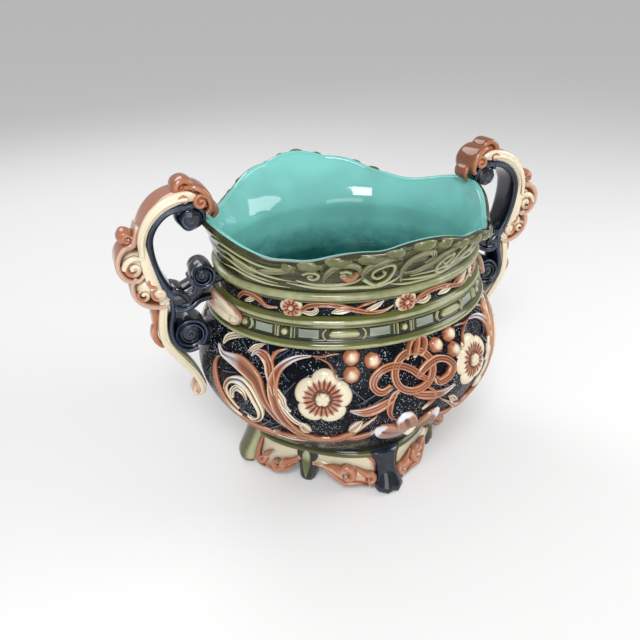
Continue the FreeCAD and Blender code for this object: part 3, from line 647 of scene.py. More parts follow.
def turned(name, profile, floor=False, around=AROUND):
    """Turns a profile of (radius, z): a ring is drawn out level by level and kept oval."""
    deselect()
    radius, z = profile[0]
    fill = "NGON" if floor else "NOTHING"
    bpy.ops.mesh.primitive_circle_add(vertices=around, radius=radius, fill_type=fill, location=(0, 0, z))
    piece = bpy.context.object
    piece.name = name
    bpy.ops.object.transform_apply(location=True, rotation=False, scale=False)
    bpy.ops.object.mode_set(mode="EDIT")
    bpy.ops.mesh.select_all(action="SELECT")
    bpy.ops.transform.resize(value=(1, DEPTH, 1), center_override=(0, 0, z))
    for wide, high in profile[1:]:
        bpy.ops.mesh.extrude_region_move(TRANSFORM_OT_translate={"value": (0, 0, high - z)})
        grow = wide / radius
        bpy.ops.transform.resize(value=(grow, grow, 1), center_override=(0, 0, high))
        radius, z = wide, high
    if floor:
        bpy.ops.mesh.delete(type="ONLY_FACE")
    bpy.ops.object.mode_set(mode="OBJECT")
    return piece


def turn_of(point):
    return math.degrees(math.atan2(point.y / DEPTH, point.x)) % 360


def span(low, high, steps):
    return [low + (high - low) * i / steps for i in range(steps + 1)]


def bare(point):
    return (0.0, 0.0, 0.0)


def finish(piece, paint, material, *nodes):
    """Glazes a turned piece and hands it over."""
    weights(piece, paint)
    tidy_normals(piece)
    hand_over(piece, material, *nodes)


def build_bowl():
    """Belly and neck outside: ink blue, punched ground."""
    outside = [(body_radius(z), z) for z in span(BASE_Z, BELLY_Z, 26)]
    outside += [(body_radius(z), z) for z in span(BELLY_Z, BELT_Z, 14)[1:]]
    outside += [(body_radius(z), z) for z in span(BELT_Z, FRIEZE_Z, 4)[1:]]
    outside += [(NECK, z) for z in span(FRIEZE_Z, RIM_Z, 4)[1:]]
    finish(turned("bowl_outside", outside, floor=True), bare, ground_glaze, "bowl")


RIM_LEVELS = 34
RIM_AROUND = 360
LIP_INSET, LIP_HALF, LIP_RISE = 2.8, 4.2, 2.4  # the rounded lip's middle and its half width and height


def flutes(turn, share):
    """Long leaf veins sweeping round the band, with a swelling under the lip."""
    swell = 1.5 * math.exp(-(((share - 0.95) / 0.08) ** 2)) + 1.0 * math.exp(-(((share - 0.3) / 0.3) ** 2))
    run = math.cos(math.radians(4 * turn)) * 0.22
    veins = 0.55 * math.sin(2 * math.pi * (share * 4.2 + run)) * math.exp(-(((share - 0.45) / 0.3) ** 2))
    return swell + veins


def rim_skin(name, inset_foot, inset_lip, relief, levels):
    """One side of the rim band, drawn as a plain ring and then brought to its waved form."""
    skin = turned(name, [(100.0, level) for level in range(levels + 1)], around=RIM_AROUND)
    for vertex in skin.data.vertices:
        share = vertex.co.z / levels
        turn = turn_of(vertex.co)
        inset = inset_foot + (inset_lip - inset_foot) * share
        vertex.co = flare(turn, share, inset - relief(turn, share))
    return skin


def lip_roll(name, start, end):
    """Part of the rounded edge, from an angle over the outside to one over the inside."""
    lip = turned(name, [(100.0, level) for level in range(5)], around=RIM_AROUND)
    for vertex in lip.data.vertices:
        turn = turn_of(vertex.co)
        angle = math.radians(start + (end - start) * vertex.co.z / 4)
        radius = lip_radius(turn) - LIP_INSET + LIP_HALF * math.cos(angle)
        vertex.co = oval(turn, radius, lip_z(turn) + LIP_RISE * math.sin(angle))
    return lip


def build_rim_band(ornaments):
    outside = rim_skin("rim_outside", 0.0, 0.0, flutes, RIM_LEVELS)
    band = join([outside, lip_roll("lip", 0, 80)], "rim_shell")
    # The band's ground between its veins takes ink and moss: painted shade.
    weights(band, lambda point: (0.0, 0.3, 0.6))
    tidy_normals(band)
    hand_over(join([band] + ornaments, "rim_band_glazed"), olive_glaze, "rim_band")


def build_lining():
    """The turquoise inside, from the floor up to the lip."""
    wall_up = [(58.0, 49.0), (74.0, 49.6), (86.0, 52.0), (96.0, 57.5)]
    wall_up += [(body_radius(z) - WALL, z) for z in span(66.0, BELT_Z, 30)]
    wall_up += [(body_radius(z) - WALL, z) for z in span(BELT_Z, FRIEZE_Z, 4)[1:]]
    wall_up += [(NECK - WALL, z) for z in span(FRIEZE_Z, RIM_Z, 4)[1:]]
    basin = turned("basin", wall_up, floor=True, around=RIM_AROUND)
    upper = rim_skin("rim_inside", WALL, 6.9, lambda turn, share: 0.0, 16)
    lining = join([basin, upper, lip_roll("inner_lip", 80, 180)], "bowl_lining")
    edit_mesh(lining, bpy.ops.mesh.remove_doubles, threshold=0.05)
    tidy_normals(lining)
    edit_mesh(lining, bpy.ops.mesh.flip_normals)

    # Teal painted shade inside the bowl, darker towards its floor.
    def painted_depth_shade(point):
        return (max(0.0, min(1.0, (228.0 - point.z) / 105.0)), 0.0, 0.0)

    weights(lining, painted_depth_shade)
    hand_over(lining, sea_glaze)


def build_rolls():
    """The roll under the rim band, with a bead line along its foot."""
    profile = [(NECK - 1, 208.4), (NECK + 1.6, 208.8), (NECK + 1.9, 209.8), (NECK + 1.3, 210.4)]
    profile += [(NECK + 2.6, 211)]
    for angle in range(20, 181, 20):
        out, up = math.sin(math.radians(angle)), -math.cos(math.radians(angle))
        profile.append((NECK + 1.8 + 2.6 * out, 213.9 + 3.0 * up))
    profile += [(NECK - 1, 217.2)]

    def paint(point):
        # The roll's upper half takes the pale second glaze as a painted highlight.
        return (0.55 if point.z > 211.5 else 0.0, 0.0, 0.0)

    finish(turned("rim_roll_glazed", profile), paint, olive_glaze, "rim_roll")


BELT_CHANNEL = 2.2  # how far the channel between the rolls stands out from the wall


def build_belt():
    """A full roll under, a fine double roll over, and the channel between them."""
    steps = [(0.0, -1), (0.2, 1.6), (1.0, 4.4), (2.4, 5.8), (4.0, 6.2), (5.6, 5.4), (6.8, 3.9)]
    steps += [(7.3, 2.8)]
    steps += [(7.9, 3.3), (8.3, 2.3), (8.6, BELT_CHANNEL), (17.0, BELT_CHANNEL), (17.4, 2.6), (17.9, 3.6)]
    steps += [(18.6, 4.0), (19.4, 3.6), (19.8, 3.1), (20.6, 4.4), (21.8, 5.3), (23.2, 5.0), (24.6, 3.7)]
    steps += [(25.0, 2.9), (25.6, 2.6), (26.0, 1.0), (26.2, -1)]
    profile = [(body_radius(BELT_Z + up) + out, BELT_Z + up) for up, out in steps]

    def paint(point):
        up = point.z - BELT_Z
        # The crests of both rolls take the pale second glaze as a painted highlight.
        high = 0.55 if 1.5 < up < 5.5 or 20 < up < 24 else 0.0
        return (high, 0.75 if 7.0 < up < 8.4 or 17.1 < up < 17.7 else 0.0, 0.0)

    finish(turned("belt_glazed", profile), paint, olive_glaze, "belt")


def channel(turn, z):
    """The bottom of the channel between the belt's rolls."""
    return surface_frame(lambda t, h: oval(t, body_radius(h) + BELT_CHANNEL - 0.4, h), turn, z)


STEP = 45.0  # degrees between two beads, or two cartouches
MIDDLE = BELT_Z + 12.8


def bar(name, turn, half, height, paint):
    """Small upright bar in the channel."""
    rows = [(turn, MIDDLE - 4.1, half, height), (turn, MIDDLE + 4.1, half, height)]
    return lay(name, channel, rows, ROUND, paint)


def second_bar(share, aside, top):
    return (0.6, 0.0, 0.0)


def pill_crest_highlight(share, aside, top):
    # Pale second glaze on the cartouche's crest: a painted highlight.
    return (max(0.0, 1.4 * top - 0.75), 0.0, 0.0)


def build_studs():
    """Beads between bars, and long cartouches between brackets with framed panels beside them."""
    pill = ((-5.4, 1.6), (-4.6, 3.7), (-2.5, 4.2), (2.5, 4.2), (4.6, 3.7), (5.4, 1.6))
    bracket = ((6.6, 4.1, 0.7), (7.4, 2.4, 0.9), (7.8, 0, 1.0), (7.4, -2.4, 0.9), (6.6, -4.1, 0.7))
    beads, cartouches, panels = [], [], []
    for i in range(8):
        turn = 270.0 + STEP * i
        beads.append(berry("bead", channel, turn, MIDDLE, 3.5, 1.1, 0.2))
        for side in (-1, 1):
            beads.append(bar("bar", turn + side * 2.7, 0.8, 3.0, second_bar))
            beads.append(bar("bar", turn + side * 3.9, 0.5, 2.0, second_bar))
        middle = turn + STEP / 2
        rows = [(middle + off, MIDDLE, wide, 3.0) for off, wide in pill]
        cartouches.append(lay("cartouche", channel, rows, ROUND, pill_crest_highlight))
        for side in (-1, 1):
            rows = [(middle + side * off, MIDDLE + up, half, 2.8) for off, up, half in bracket]
            cartouches.append(lay("bracket_bar", channel, rows, ROUND, second_bar))
            rows = [(middle + side * off, MIDDLE, 3.4, 1.1) for off in (9.4, 13.2, 17.0)]
            panels.append(lay("panel", channel, rows, (0.0, 1.0, 0.7, 0.66, 0.66)))
    hand_over(join(beads, "belt_beads_glazed"), olive_glaze, "belt_beads")
    hand_over(join(cartouches, "belt_cartouches_glazed"), olive_glaze, "belt_cartouches")
    hand_over(join(panels, "belt_panels"), panel_glaze, crease=60.0)


def build_plinth():
    """Waved olive lip over the feet, and the fine dark rings where the belly stands on it."""
    steps = [(8.0, 33.0), (2.6, 33.0), (1.0, 33.6), (0.1, 34.8), (0.0, 36.2), (0.6, 37.6), (1.7, 38.6)]
    steps += [(2.6, 38.9), (2.9, 39.6), (3.9, 40.2), (5.0, 40.2), (5.4, 40.8), (6.6, 41.2)]
    steps += [(9.0, 41.2), (12.0, 41.4)]
    plinth = turned("plinth_glazed", [(100.0, level) for level in range(len(steps))])
    layer = glaze_layer(plinth)
    for index, vertex in enumerate(plinth.data.vertices):
        inset, z = steps[round(vertex.co.z)]
        turn = turn_of(vertex.co)
        vertex.co = oval(turn, plinth_radius(turn) - inset, z)
        layer[index].vector = (0.0, 0.6 if inset > 2.4 and z > 38.5 else 0.0, 0.2)
    tidy_normals(plinth)
    hand_over(plinth, olive_glaze, "plinth")
    ring = [(BASE - 2, 40.6), (BASE + 2.6, 41.0), (BASE + 3.1, 42.0), (BASE + 2.2, 43.0)]
    ring += [(BASE + 4.6, 43.6), (BASE + 5.0, 44.6), (BASE + 3.6, 45.6)]
    finish(turned("foot_ring", ring), bare, navy_glaze)


# ---------------------------------------------------------------------------------------------
# Base: corner feet, middle brackets and apron panels
# ---------------------------------------------------------------------------------------------


def pillar(name, heading, rows, section, paint, middle=(0.0, 0.0)):
    """Upright foot drawn downwards; rows hold the reach of its face, height, half width and depth."""
    ahead = Vector((math.cos(math.radians(heading)), math.sin(math.radians(heading)), 0))
    across = Vector((-ahead.y, ahead.x, 0))

    def frames(share):
        reach, z, half, deep = along_rows(rows, share)
        spot = Vector((*middle, max(z, 0.0))) + ahead * (reach - deep)
        return spot, ahead, across, half, deep, 4.0

    return strung(name, frames, section, paint)


def olive_foot_paint(share, aside, top):
    """Olive with a cream stripe down each edge, the toe dark."""
    stripe = max(0.0, 1.3 - abs(abs(aside) - 0.86) * 6.0) if share < 0.7 else 0.0
    return (0.9 * stripe, max(0.0, 5.0 * share - 3.0), 0.0)


def rib_highlight_paint(share, aside, top):
    # Slate stripes down the ribs of the navy foot: painted highlight.
    return (max(0.0, 0.7 * math.cos(9.0 * aside) - 0.35), 0.0, 0.0)


SIDE_FOOT = ((105.0, 41, 13.5, 14), (108, 34, 13.4, 14), (111, 27, 13, 14), (114.4, 20, 13, 14))
SIDE_FOOT += ((118, 13, 13.2, 15), (119.4, 7, 13.4, 16), (118.8, 3, 13, 16), (116.6, 0.7, 11.6, 14))
SIDE_FOOT += ((113.5, 0.0, 9.5, 12),)
FACE_FOOT = ((92.5, 39.5, 16, 13), (95, 33, 13, 13), (97.5, 26, 11, 13), (100.5, 19, 10.6, 13))
FACE_FOOT += ((104.4, 12.5, 12, 14), (107.4, 7, 14, 15.5), (107.6, 3, 13.8, 16))
FACE_FOOT += ((105.6, 0.7, 12, 14), (103.5, 0.0, 10, 12))


def build_feet():
    side = (SIDE_FOOT, (0.0, 0.5, 0.82, 0.97, 1.0), olive_foot_paint)
    face = (FACE_FOOT, (0.0, 0.6, 0.76, 1.0, 0.9), rib_highlight_paint)
    for place, heading, foot, material in (
        ("right", 0.0, side, olive_glaze),
        ("left", 180.0, side, olive_glaze),
        ("front", 270.0, face, navy_glaze),
        ("back", 90.0, face, navy_glaze),
    ):
        name = f"corner_foot_{place}"
        hand_over(pillar(f"{name}_glazed", heading, *foot), material, name)


BRACKET = Vector((-69.0, -58.0))


def bracket_paint(share, aside, top):
    return (0.0, 1.2, 0.0)


def drop_highlight_paint(share, aside, top):
    # The top of the drop's crest takes the pale second glaze as a painted highlight; its sides take ink.
    return (max(0.0, 1.2 - 2.4 * share) if top > 0.6 else 0.0, max(0.0, 1.2 - 2.0 * top), 0.0)


def build_brackets():
    """Middle feet, square to the oval: a dark shield with an olive drop on it."""
    outward = Vector((BRACKET.x, BRACKET.y / DEPTH**2)).normalized()
    heading = math.degrees(math.atan2(outward.y, outward.x))
    middle = BRACKET - outward * BRACKET.dot(outward)
    inset = BRACKET.length - BRACKET.dot(outward)
    shield = ((86.5, 39, 14.5, 12), (88, 33, 13.5, 12), (89.4, 26, 11.6, 12), (90.4, 18, 9.6, 12))
    shield += ((91.4, 10, 9.0, 12.5), (91.4, 4.5, 8.6, 12.5), (90.4, 1.2, 7, 11), (89, 0.0, 5, 9))
    drop = ((88.4, 36.5, 1.5, 4), (90.2, 32, 4.6, 5), (91.6, 25, 5.4, 6), (92.4, 17, 4.4, 6))
    drop += ((92.8, 10, 2.4, 5), (92, 6, 1, 4))
    pieces = []
    for name, rows, section, paint in (
        ("shield", shield, (0.0, 0.55, 0.84, 0.95, 0.96), bracket_paint),
        ("drop", drop, ROUND, drop_highlight_paint),
    ):
        rows = [(reach - inset, z, half, deep) for reach, z, half, deep in rows]
        pieces.append(pillar(name, heading, rows, section, paint, middle))
    quarters("bracket", pieces, olive_glaze)


SKIRT_MM = 100.0  # radius that turns are read at on the skirt, in millimetres


def apron_plate(name, start, end, hem, stripe):
    """Panel between two feet: a grid brought to the skirt, its hem waved, then made thick."""
    deselect()
    bpy.ops.mesh.primitive_grid_add(x_subdivisions=44, y_subdivisions=18, size=2, location=(0, 0, 0))
    piece = bpy.context.object
    piece.name = name
    layer = glaze_layer(piece)
    for index, vertex in enumerate(piece.data.vertices):
        share, down = (vertex.co.x + 1) / 2, (1 - vertex.co.y) / 2
        turn = start + (end - start) * share
        low = along_rows([(z,) for z in hem], share)[0]
        z = 35.0 + (low - 35.0) * down
        point, out = skirt(turn, z)
        bulge = 2.0 * math.exp(-(((down - 0.9) / 0.16) ** 2)) - 1.6 * math.exp(-(((down - 0.5) / 0.25) ** 2))
        vertex.co = point + out * (bulge - 0.6)
        brown = max(0.0, 1.9 * down - 1.0) + max(0.0, 1.0 - 7 * abs(share - stripe))
        layer[index].vector = (min(1.0, brown), 0.0, 0.5 * max(0.0, down - 0.82) / 0.18)
    pick(piece)
    solid = piece.modifiers.new("thickness", "SOLIDIFY")
    solid.thickness = 6.0
    solid.offset = -1.0
    bpy.ops.object.modifier_apply(modifier=solid.name)
    tidy_normals(piece)
    return piece


def spiral_rows(turn, z, radius, start, turns, half, high):
    """Rows of a spiral on the skirt, given in millimetres and laid in degrees."""
    rows = []
    for i in range(10):
        share = i / 9
        reach = radius * (1 - 0.84 * share)
        angle = math.radians(start + 360 * turns * share)
        aside = math.degrees(reach * math.cos(angle) / SKIRT_MM)
        rows.append((turn + aside, z + reach * math.sin(angle), half * (1 - 0.4 * share), high))
    return rows


def brown_curl(share, aside, top):
    # Brown, darker towards the eye, and dark low on its sides as pooled glaze and painted shade.
    return (0.95, 0.0, max(0.25, 1.1 * share - 0.4, 0.9 - 1.5 * top))


def build_aprons():
    """Scroll panels: a plate, two curls, a stripe beside the corner foot and a roll along the hem."""
    side = [
        [(219, 27, 1, 1), (214, 21, 2.6, 2.6)] + spiral_rows(206.0, 15.0, 6.8, 20, -0.95, 4.2, 5.4),
        [(201, 24, 0.8, 1), (197.5, 20.5, 2.4, 2.6)] + spiral_rows(194.5, 12.5, 4.8, 60, -0.95, 3.2, 4.2),
        [(189, 34, 1.4, 1), (189.5, 25, 2.6, 3), (190, 15, 3, 3.4), (193, 7.5, 2.8, 3), (199, 6.5, 1.2, 2)],
        [(199, 7, 1.0, 1.6), (206, 7.4, 2.2, 3), (213, 12.6, 2.2, 3), (218, 21, 1.0, 1.4)],
    ]
    face = [
        [(235, 22.5, 1, 1), (241, 23.4, 2.8, 3)] + spiral_rows(249.0, 16.4, 7.6, 140, -0.95, 4.8, 6.0),
        [(252, 25, 0.8, 1), (256.6, 20, 2.8, 3.4)] + spiral_rows(260.6, 12.0, 5.2, 110, -0.9, 3.8, 5.0),
        [(260, 34, 1, 1), (265, 27, 2.8, 3), (267.4, 17, 3.2, 3.4), (266, 8, 3, 3), (261, 4.5, 1.2, 2)],
        [(236, 19.5, 1, 1.4), (242, 14.5, 2.2, 3), (248, 8.5, 2.6, 3.4), (255, 9, 2.2, 3), (260, 6, 1.2, 2)],
    ]
    side_plate = ("apron_side", 184.0, 220.0, (3.0, 4.5, 6.0, 8.0, 7.0, 13.0, 24.0), 0.06)
    face_plate = ("apron_face", 228.0, 268.0, (22.0, 20.0, 15.0, 8.0, 9.5, 5.0, 2.5), 0.94)
    for plate, curls in ((side_plate, side), (face_plate, face)):
        pieces = [apron_plate(*plate)] + [lay("curl", skirt, rows, ROUND, brown_curl) for rows in curls]
        quarters(plate[0], pieces, cream_glaze)


# ---------------------------------------------------------------------------------------------
# Handles, modelled at +X: a navy ribbon rolled at its ends under a cream and brown leaf
# ---------------------------------------------------------------------------------------------


def edge_brown(share, aside, top):
    """Cream sides, brown where the leaf turns outwards."""
    return (max(0.0, 1.9 * top - 0.6), 0.0, max(0.0, 0.35 * top - 0.1))


def all_brown(share, aside, top):
    return (0.95, 0.0, 0.3)


def curl_brown(share, aside, top):
    """Brown outside, cream in the eye, and dark low on its sides as pooled glaze and painted shade."""
    return (max(0.0, 1.25 - 1.6 * share), 0.0, max(0.2, 0.9 - 1.7 * top))


def scroll_brown(share, aside, top):
    """Brown along the outer edge and over the rolled tip."""
    return (max(0.0, 1.4 * top - 0.85) + (0.5 if share > 0.8 else 0.0), 0.0, 0.0)


def blue_ridge_highlight(share, aside, top):
    """Painted slate highlight that comes and goes along a line."""
    return (0.35 + 0.35 * math.sin(9 * share), 0.0, 0.0)


def blue_side_highlight(share, aside, top):
    # Painted slate highlight along the ribbon's sides, coming and going.
    wave = 0.5 + 0.5 * math.sin(7 * share + 0.6)
    return (0.75 * max(0.0, 1 - abs(top) * 1.3) * wave, 0.0, 0.0)


def blue_root_highlight(share, aside, top):
    # Painted slate highlight on the first half of the piece.
    return (0.5 * (share < 0.55), 0.0, 0.0)


def blue_fading_highlight(share, aside, top):
    # Painted slate highlight that fades along the piece.
    return (0.4 * (1 - share), 0.0, 0.0)


def whorl(x, z, radius, start, turns, inner, steps, half, high):
    """Rows of a fine line of even width, wound in to its eye."""
    return [(px, pz, half, high) for px, pz, _, _ in coil(x, z, radius, start, turns, 1, 1, inner, steps)]


def on_flanks(name, reach, rows, section=ROUND, paint=plain, sink=3.0):
    """The same line on both side faces of a handle, so far from its middle plane."""
    return [lay(name, flank(side * reach), rows, section, paint, sink=sink) for side in (-1, 1)]


def volute(name, x, z, radius, half, start, turns):
    """Rolled end: a drum with the ribbon wound round it and its spiral drawn on both faces."""
    parts = [boss(name, x, z, radius - 2.2, half - 1.0)]
    parts.append(sweep("ribbon", coil(x, z, radius - 2.0, start, turns, half, 4.6, 0.72, 8)))
    spiral = whorl(x, z, radius - 4.2, start + 40, turns * 2.0, 0.12, 14, 0.75, 1.1)
    # The spiral lines and the eye take the painted slate highlight.
    parts += on_flanks("spiral", half - 0.9, spiral, ROUND, blue_ridge_highlight, 1.5)
    parts.append(boss("eye", x, z, 2.0, half + 1.2, second=0.5))
    return parts


def build_arm():
    rows = [(137, 271.5, 12.5, 5), (146, 272.4, 13.5, 6.5), (157, 270, 14, 6.5), (166, 263, 14, 6.5)]
    rows += [(172, 253.5, 14, 6.5), (173.6, 243, 14, 6.5), (172.6, 230, 14, 6.5), (169.6, 217, 13.5, 7)]
    rows += [(165.5, 207, 13, 7.5), (161, 199, 12, 8)]
    ridge = [(x, z, 0.8, 1.0) for x, z, half, thick in rows[1:-1]]
    parts = [sweep("arm", rows, RIBBON, blue_side_highlight)]
    handles("handle_arm", parts + on_flanks("ridge", 13.4, ridge, ROUND, blue_ridge_highlight, 1.5), navy_glaze)


def build_ball():
    band = [(149, 268, 11, 3), (143, 273.5, 13, 4.5), (134, 273, 13.5, 4.5), (128.5, 267, 13, 4)]
    band += [(128, 259, 10, 3)]
    parts = [boss("ball", 138.5, 262.5, 11.6, 13.0, 0.08), sweep("band", band)]
    spiral = whorl(138.5, 261.5, 8.0, 60, -1.5, 0.15, 10, 1.1, 1.5)
    parts += on_flanks("spiral", 11.6, spiral, ROUND, blue_ridge_highlight)
    handles("handle_ball", parts, navy_glaze)


def build_leaf():
    rows = [(133, 279, 12.5, 6), (140, 281, 15, 10.5), (149, 280.4, 16, 11.5), (159, 277, 16.5, 11.5)]
    rows += [(168, 270.5, 16.5, 10.5), (175, 261.5, 16, 9), (179, 251.5, 15.5, 8), (180, 241, 14.5, 6)]
    rows += [(178, 232, 12, 4)]
    edge = [(x + 0.6, z - 0.8, 1.1 + 0.04 * half, 1.5) for x, z, half, thick in rows[1:-1]]
    eye = whorl(143.5, 279.5, 4.2, 20, 1.0, 0.2, 6, 1.0, 1.5)
    parts = [sweep("leaf", rows, LEAF_BACK, edge_brown)]
    parts += on_flanks("edge", 15.2, edge, sink=2.5)
    parts += on_flanks("eye", 14.8, eye, ROUND, brown_curl, 2.5)
    handles("handle_leaf", parts, cream_glaze)


def build_lobes():
    """The leaf's lower half: rib, knob, two curled lobes and the rolled end over the joint."""
    rib = [(179.5, 250, 14.5, 6), (179, 240, 14.5, 10), (177.5, 228, 14.5, 12), (175.5, 216, 14.5, 12)]
    rib += [(172.5, 205, 14, 10), (168.5, 198.5, 13, 7), (165.5, 196.8, 12, 4)]
    upper = [(180, 262, 10, 4), (184.5, 250, 11.5, 6), (188, 247, 12, 6), (194, 245, 13, 5.5)]
    upper += [(199, 238, 13.5, 5), (199.5, 229, 13.5, 5), (195, 221, 13, 5), (187.5, 218.5, 12.5, 4.5)]
    upper += [(182, 222, 12, 4)]
    low = [(188, 221, 12, 4), (192, 214, 13, 5), (191, 205, 13.5, 5), (186, 198, 13.5, 5)]
    low += [(178, 193.5, 13.5, 5), (170, 192.5, 13, 4.5), (166, 195, 12, 3.5)]
    fold = [(181, 236, 1.2, 2), (187, 238.5, 2.4, 3), (193, 236, 2.6, 3), (196, 230, 2.2, 2.4)]
    end = [(178, 222, 1.4, 1.6), (179, 214, 2.2, 2.4)]
    end += whorl(172.5, 204.5, 6.6, 75, -1.4, 0.12, 10, 1.8, 2.4)
    parts = [sweep("rib", rib, LEAF_BACK, edge_brown)]
    parts.append(boss("upper_core", 187, 233, 10.5, 12.5, 0.06, 0.15))
    parts.append(boss("low_core", 181.5, 209, 9.0, 12.0, 0.06, 0.1))
    parts.append(boss("knob", 190.5, 253.8, 6.6, 9.5, 0.05, 0.9))
    parts += [sweep("upper_lobe", upper, RIBBON, all_brown), sweep("low_lobe", low, RIBBON, all_brown)]
    parts += on_flanks("fold", 12.6, fold)
    for reach, curl, paint in (
        (12.6, whorl(188.5, 229.5, 7.2, 100, -1.35, 0.15, 10, 1.9, 2.4), curl_brown),
        (12.6, end, curl_brown),
        (12.6, whorl(184.5, 205.5, 5.4, 60, -1.1, 0.2, 8, 1.6, 2.2), curl_brown),
        (9.0, whorl(189.5, 253, 4.0, 160, -1.2, 0.2, 8, 1.2, 1.8), brown_curl),
    ):
        parts += on_flanks("curl", reach, curl, ROUND, paint)
    handles("handle_lobes", parts, cream_glaze)


def build_crest():
    """Three curled leaf ends over the rolled end of the arm."""
    tall = [(146, 274, 9, 5), (148.5, 282, 11, 6), (147, 290, 11, 5.5), (141, 293, 10.5, 5)]
    tall += [(135.5, 290, 10, 5)]
    tall += [(134, 283.5, 10, 5), (137, 278, 10, 4)]
    back = [(140, 287.5, 11, 4), (133, 287.5, 14, 5), (126.5, 283.5, 15, 5.5), (122.8, 277, 15.5, 5.5)]
    back += [(122.4, 270, 14.5, 5), (126, 265.5, 13, 4)]
    small = [(126, 270, 8, 4), (119.5, 270.5, 9, 5), (117.4, 264.5, 8.5, 4.5), (121, 259.5, 7, 3)]
    vein = [(145, 278, 0.8, 1.4), (143.5, 284, 1.4, 2), (139.5, 288, 1.4, 2), (137, 285, 0.9, 1.4)]
    parts = [sweep("end", rows) for rows in (tall, back, small)]
    parts.append(boss("tall_core", 141.2, 284.5, 7.6, 9.5, 0.06))
    parts.append(boss("back_core", 130.5, 276.5, 8.2, 13.0, 0.06, 0.35))
    parts += on_flanks("eye", 12.6, whorl(130.0, 275.5, 6.2, 150, -1.3, 0.15, 9, 1.7, 2.2), ROUND, all_second)
    parts += on_flanks("vein", 9.2, vein)
    handles("handle_crest", parts, crest_glaze)


def build_upper_volute():
    bar = [(168, 199, 11, 7), (159, 195.5, 11.5, 13), (149, 197, 11.5, 16), (139, 203, 11, 13)]
    bar += [(129, 207, 9.5, 10), (117, 208, 9, 9)]
    fold = [(162, 205, 8, 3), (157, 203.5, 11, 5), (151, 199, 12, 5.5), (145, 200, 12.5, 5)]
    fold += [(142.5, 207, 12.5, 4)]
    under = [(166, 198, 10, 4), (161.5, 189, 12, 5), (155, 185.5, 12.5, 5), (147, 187, 12, 5)]
    under += [(139, 190.5, 10, 5), (124, 191, 8, 5)]
    leaf = [(166, 204, 0.8, 1), (159, 203, 1.8, 2), (152, 197.5, 2.4, 2.4), (150, 191, 1.8, 2)]
    leaf += [(156, 190, 1.1, 1.4)]
    parts = volute("volute", 135.5, 213.0, 12.4, 13.5, -25, -1.0)
    parts += [sweep("bar", bar), sweep("fold", fold), sweep("under", under, RIBBON, blue_root_highlight)]
    handles("handle_volute", parts + on_flanks("fold_leaf", 11.0, leaf, LEAF, blue_ridge_highlight), navy_glaze)


def build_scroll():
    rows = [(170.5, 200, 11.5, 7), (170.8, 190, 12, 7.5), (173.0, 178, 12, 8), (174, 167, 12, 8.5)]
    rows += [(172.6, 156, 12, 8.5), (168, 146, 12, 8.5), (161, 134.5, 11.5, 8.5), (154, 122.5, 11, 8)]
    rows += [(149.5, 111.5, 10, 7.5), (147.5, 103, 9.5, 7), (148.5, 96.5, 9, 5.5), (153, 95, 8.5, 4.5)]
    rows += [(155.5, 99, 8, 4), (153.5, 103, 7.5, 3.5)]
    edge = [(x - 2.2, z + 0.5, 0.9, 1.3) for x, z, half, thick in rows[:10]]
    parts = [sweep("scroll", rows, SCROLL_BACK, scroll_brown), boss("tail", 149.6, 101.5, 6.6, 9.0, 0.05, 0.5)]
    handles("handle_scroll", parts + on_flanks("edge", 11.0, edge), cream_glaze)


def build_low_volute():
    strip = [(164.5, 203, 11, 4), (163, 194, 12, 5), (163.5, 184, 12.5, 5), (166.5, 173, 12.5, 5)]
    strip += [(167.2, 162, 12.5, 5), (163.5, 151.5, 12.5, 5), (156, 145.8, 12.5, 5)]
    strip += [(147, 146.5, 12.5, 4.5)]
    parts = [sweep("strip", strip, RIBBON, blue_fading_highlight)]
    parts += volute("low_volute", 152.0, 161.0, 16.2, 13.0, 230, -1.0)
    parts.append(sweep("root", [(150, 158, 9, 18), (140, 155, 9.5, 20), (126, 153, 9, 20)]))
    handles("handle_low_volute", parts, navy_glaze)


def build_back_leaf():
    high = [(175.5, 195, 5, 3), (177.8, 187.5, 6.5, 6.5), (178.4, 180, 6.5, 6), (179.2, 173, 4.5, 4)]
    high += [(178, 169, 3, 3)]
    low = [(178.5, 173, 3, 3), (181, 167, 6, 5.5), (181.2, 160, 6.5, 6), (178.2, 152.5, 4.5, 4)]
    low += [(175, 149, 3, 3)]
    parts = [sweep("small_leaf", rows, CURLED, all_brown) for rows in (high, low)]
    handles("handle_back_leaf", parts, crest_glaze)


def belt_skin(turn, z):
    """The outside of the belt's rolls, which the clasps lie over."""
    return surface_frame(lambda t, h: oval(t, body_radius(h) + 4.6, h), turn, z)


def clasp_paint(share, aside, top):
    return (max(0.0, 1.9 - 3.6 * share, 0.8 - 1.5 * top), 0.0, max(0.0, 4.0 * share - 3.3))


def tip_line(share, aside, top):
    return (0.5, 0.0, max(0.45, 1.0 - 1.3 * top))


def build_clasps():
    """Leaf that lies over the belt beside a handle, its tip rolled to a dark curl."""
    rows = [(172, 190, 3, 3), (178, 189, 6, 5), (184, 188.6, 7.2, 5.6), (190, 188.2, 7.6, 5.6)]
    rows += [(196, 187.2, 7.6, 5.6), (201, 186, 6.4, 5), (204.4, 185, 3.6, 4), (205.6, 184.6, 1.4, 2.4)]
    curl = [(197, 194, 1.0, 5), (202, 191.6, 1.6, 5.6), (205, 186.8, 1.8, 5.4), (204, 181.6, 1.6, 5.4)]
    curl += [(201.4, 181, 1.3, 5.8), (200.4, 183.6, 1.0, 6), (201.8, 185.6, 0.8, 6)]
    leaf = lay("clasp", belt_skin, rows, (0.0, 0.9, 1.0, 0.92, 0.8), clasp_paint, sink=6)
    line = lay("curl", belt_skin, curl, ROUND, tip_line, sink=5)
    quarters("belt_clasp", [leaf, line], cream_glaze)


# ---------------------------------------------------------------------------------------------
# Relief of the belly: drawn on the front left quarter, knot and fan in the middle
# ---------------------------------------------------------------------------------------------

FLOWER = (240.6, 134.4)


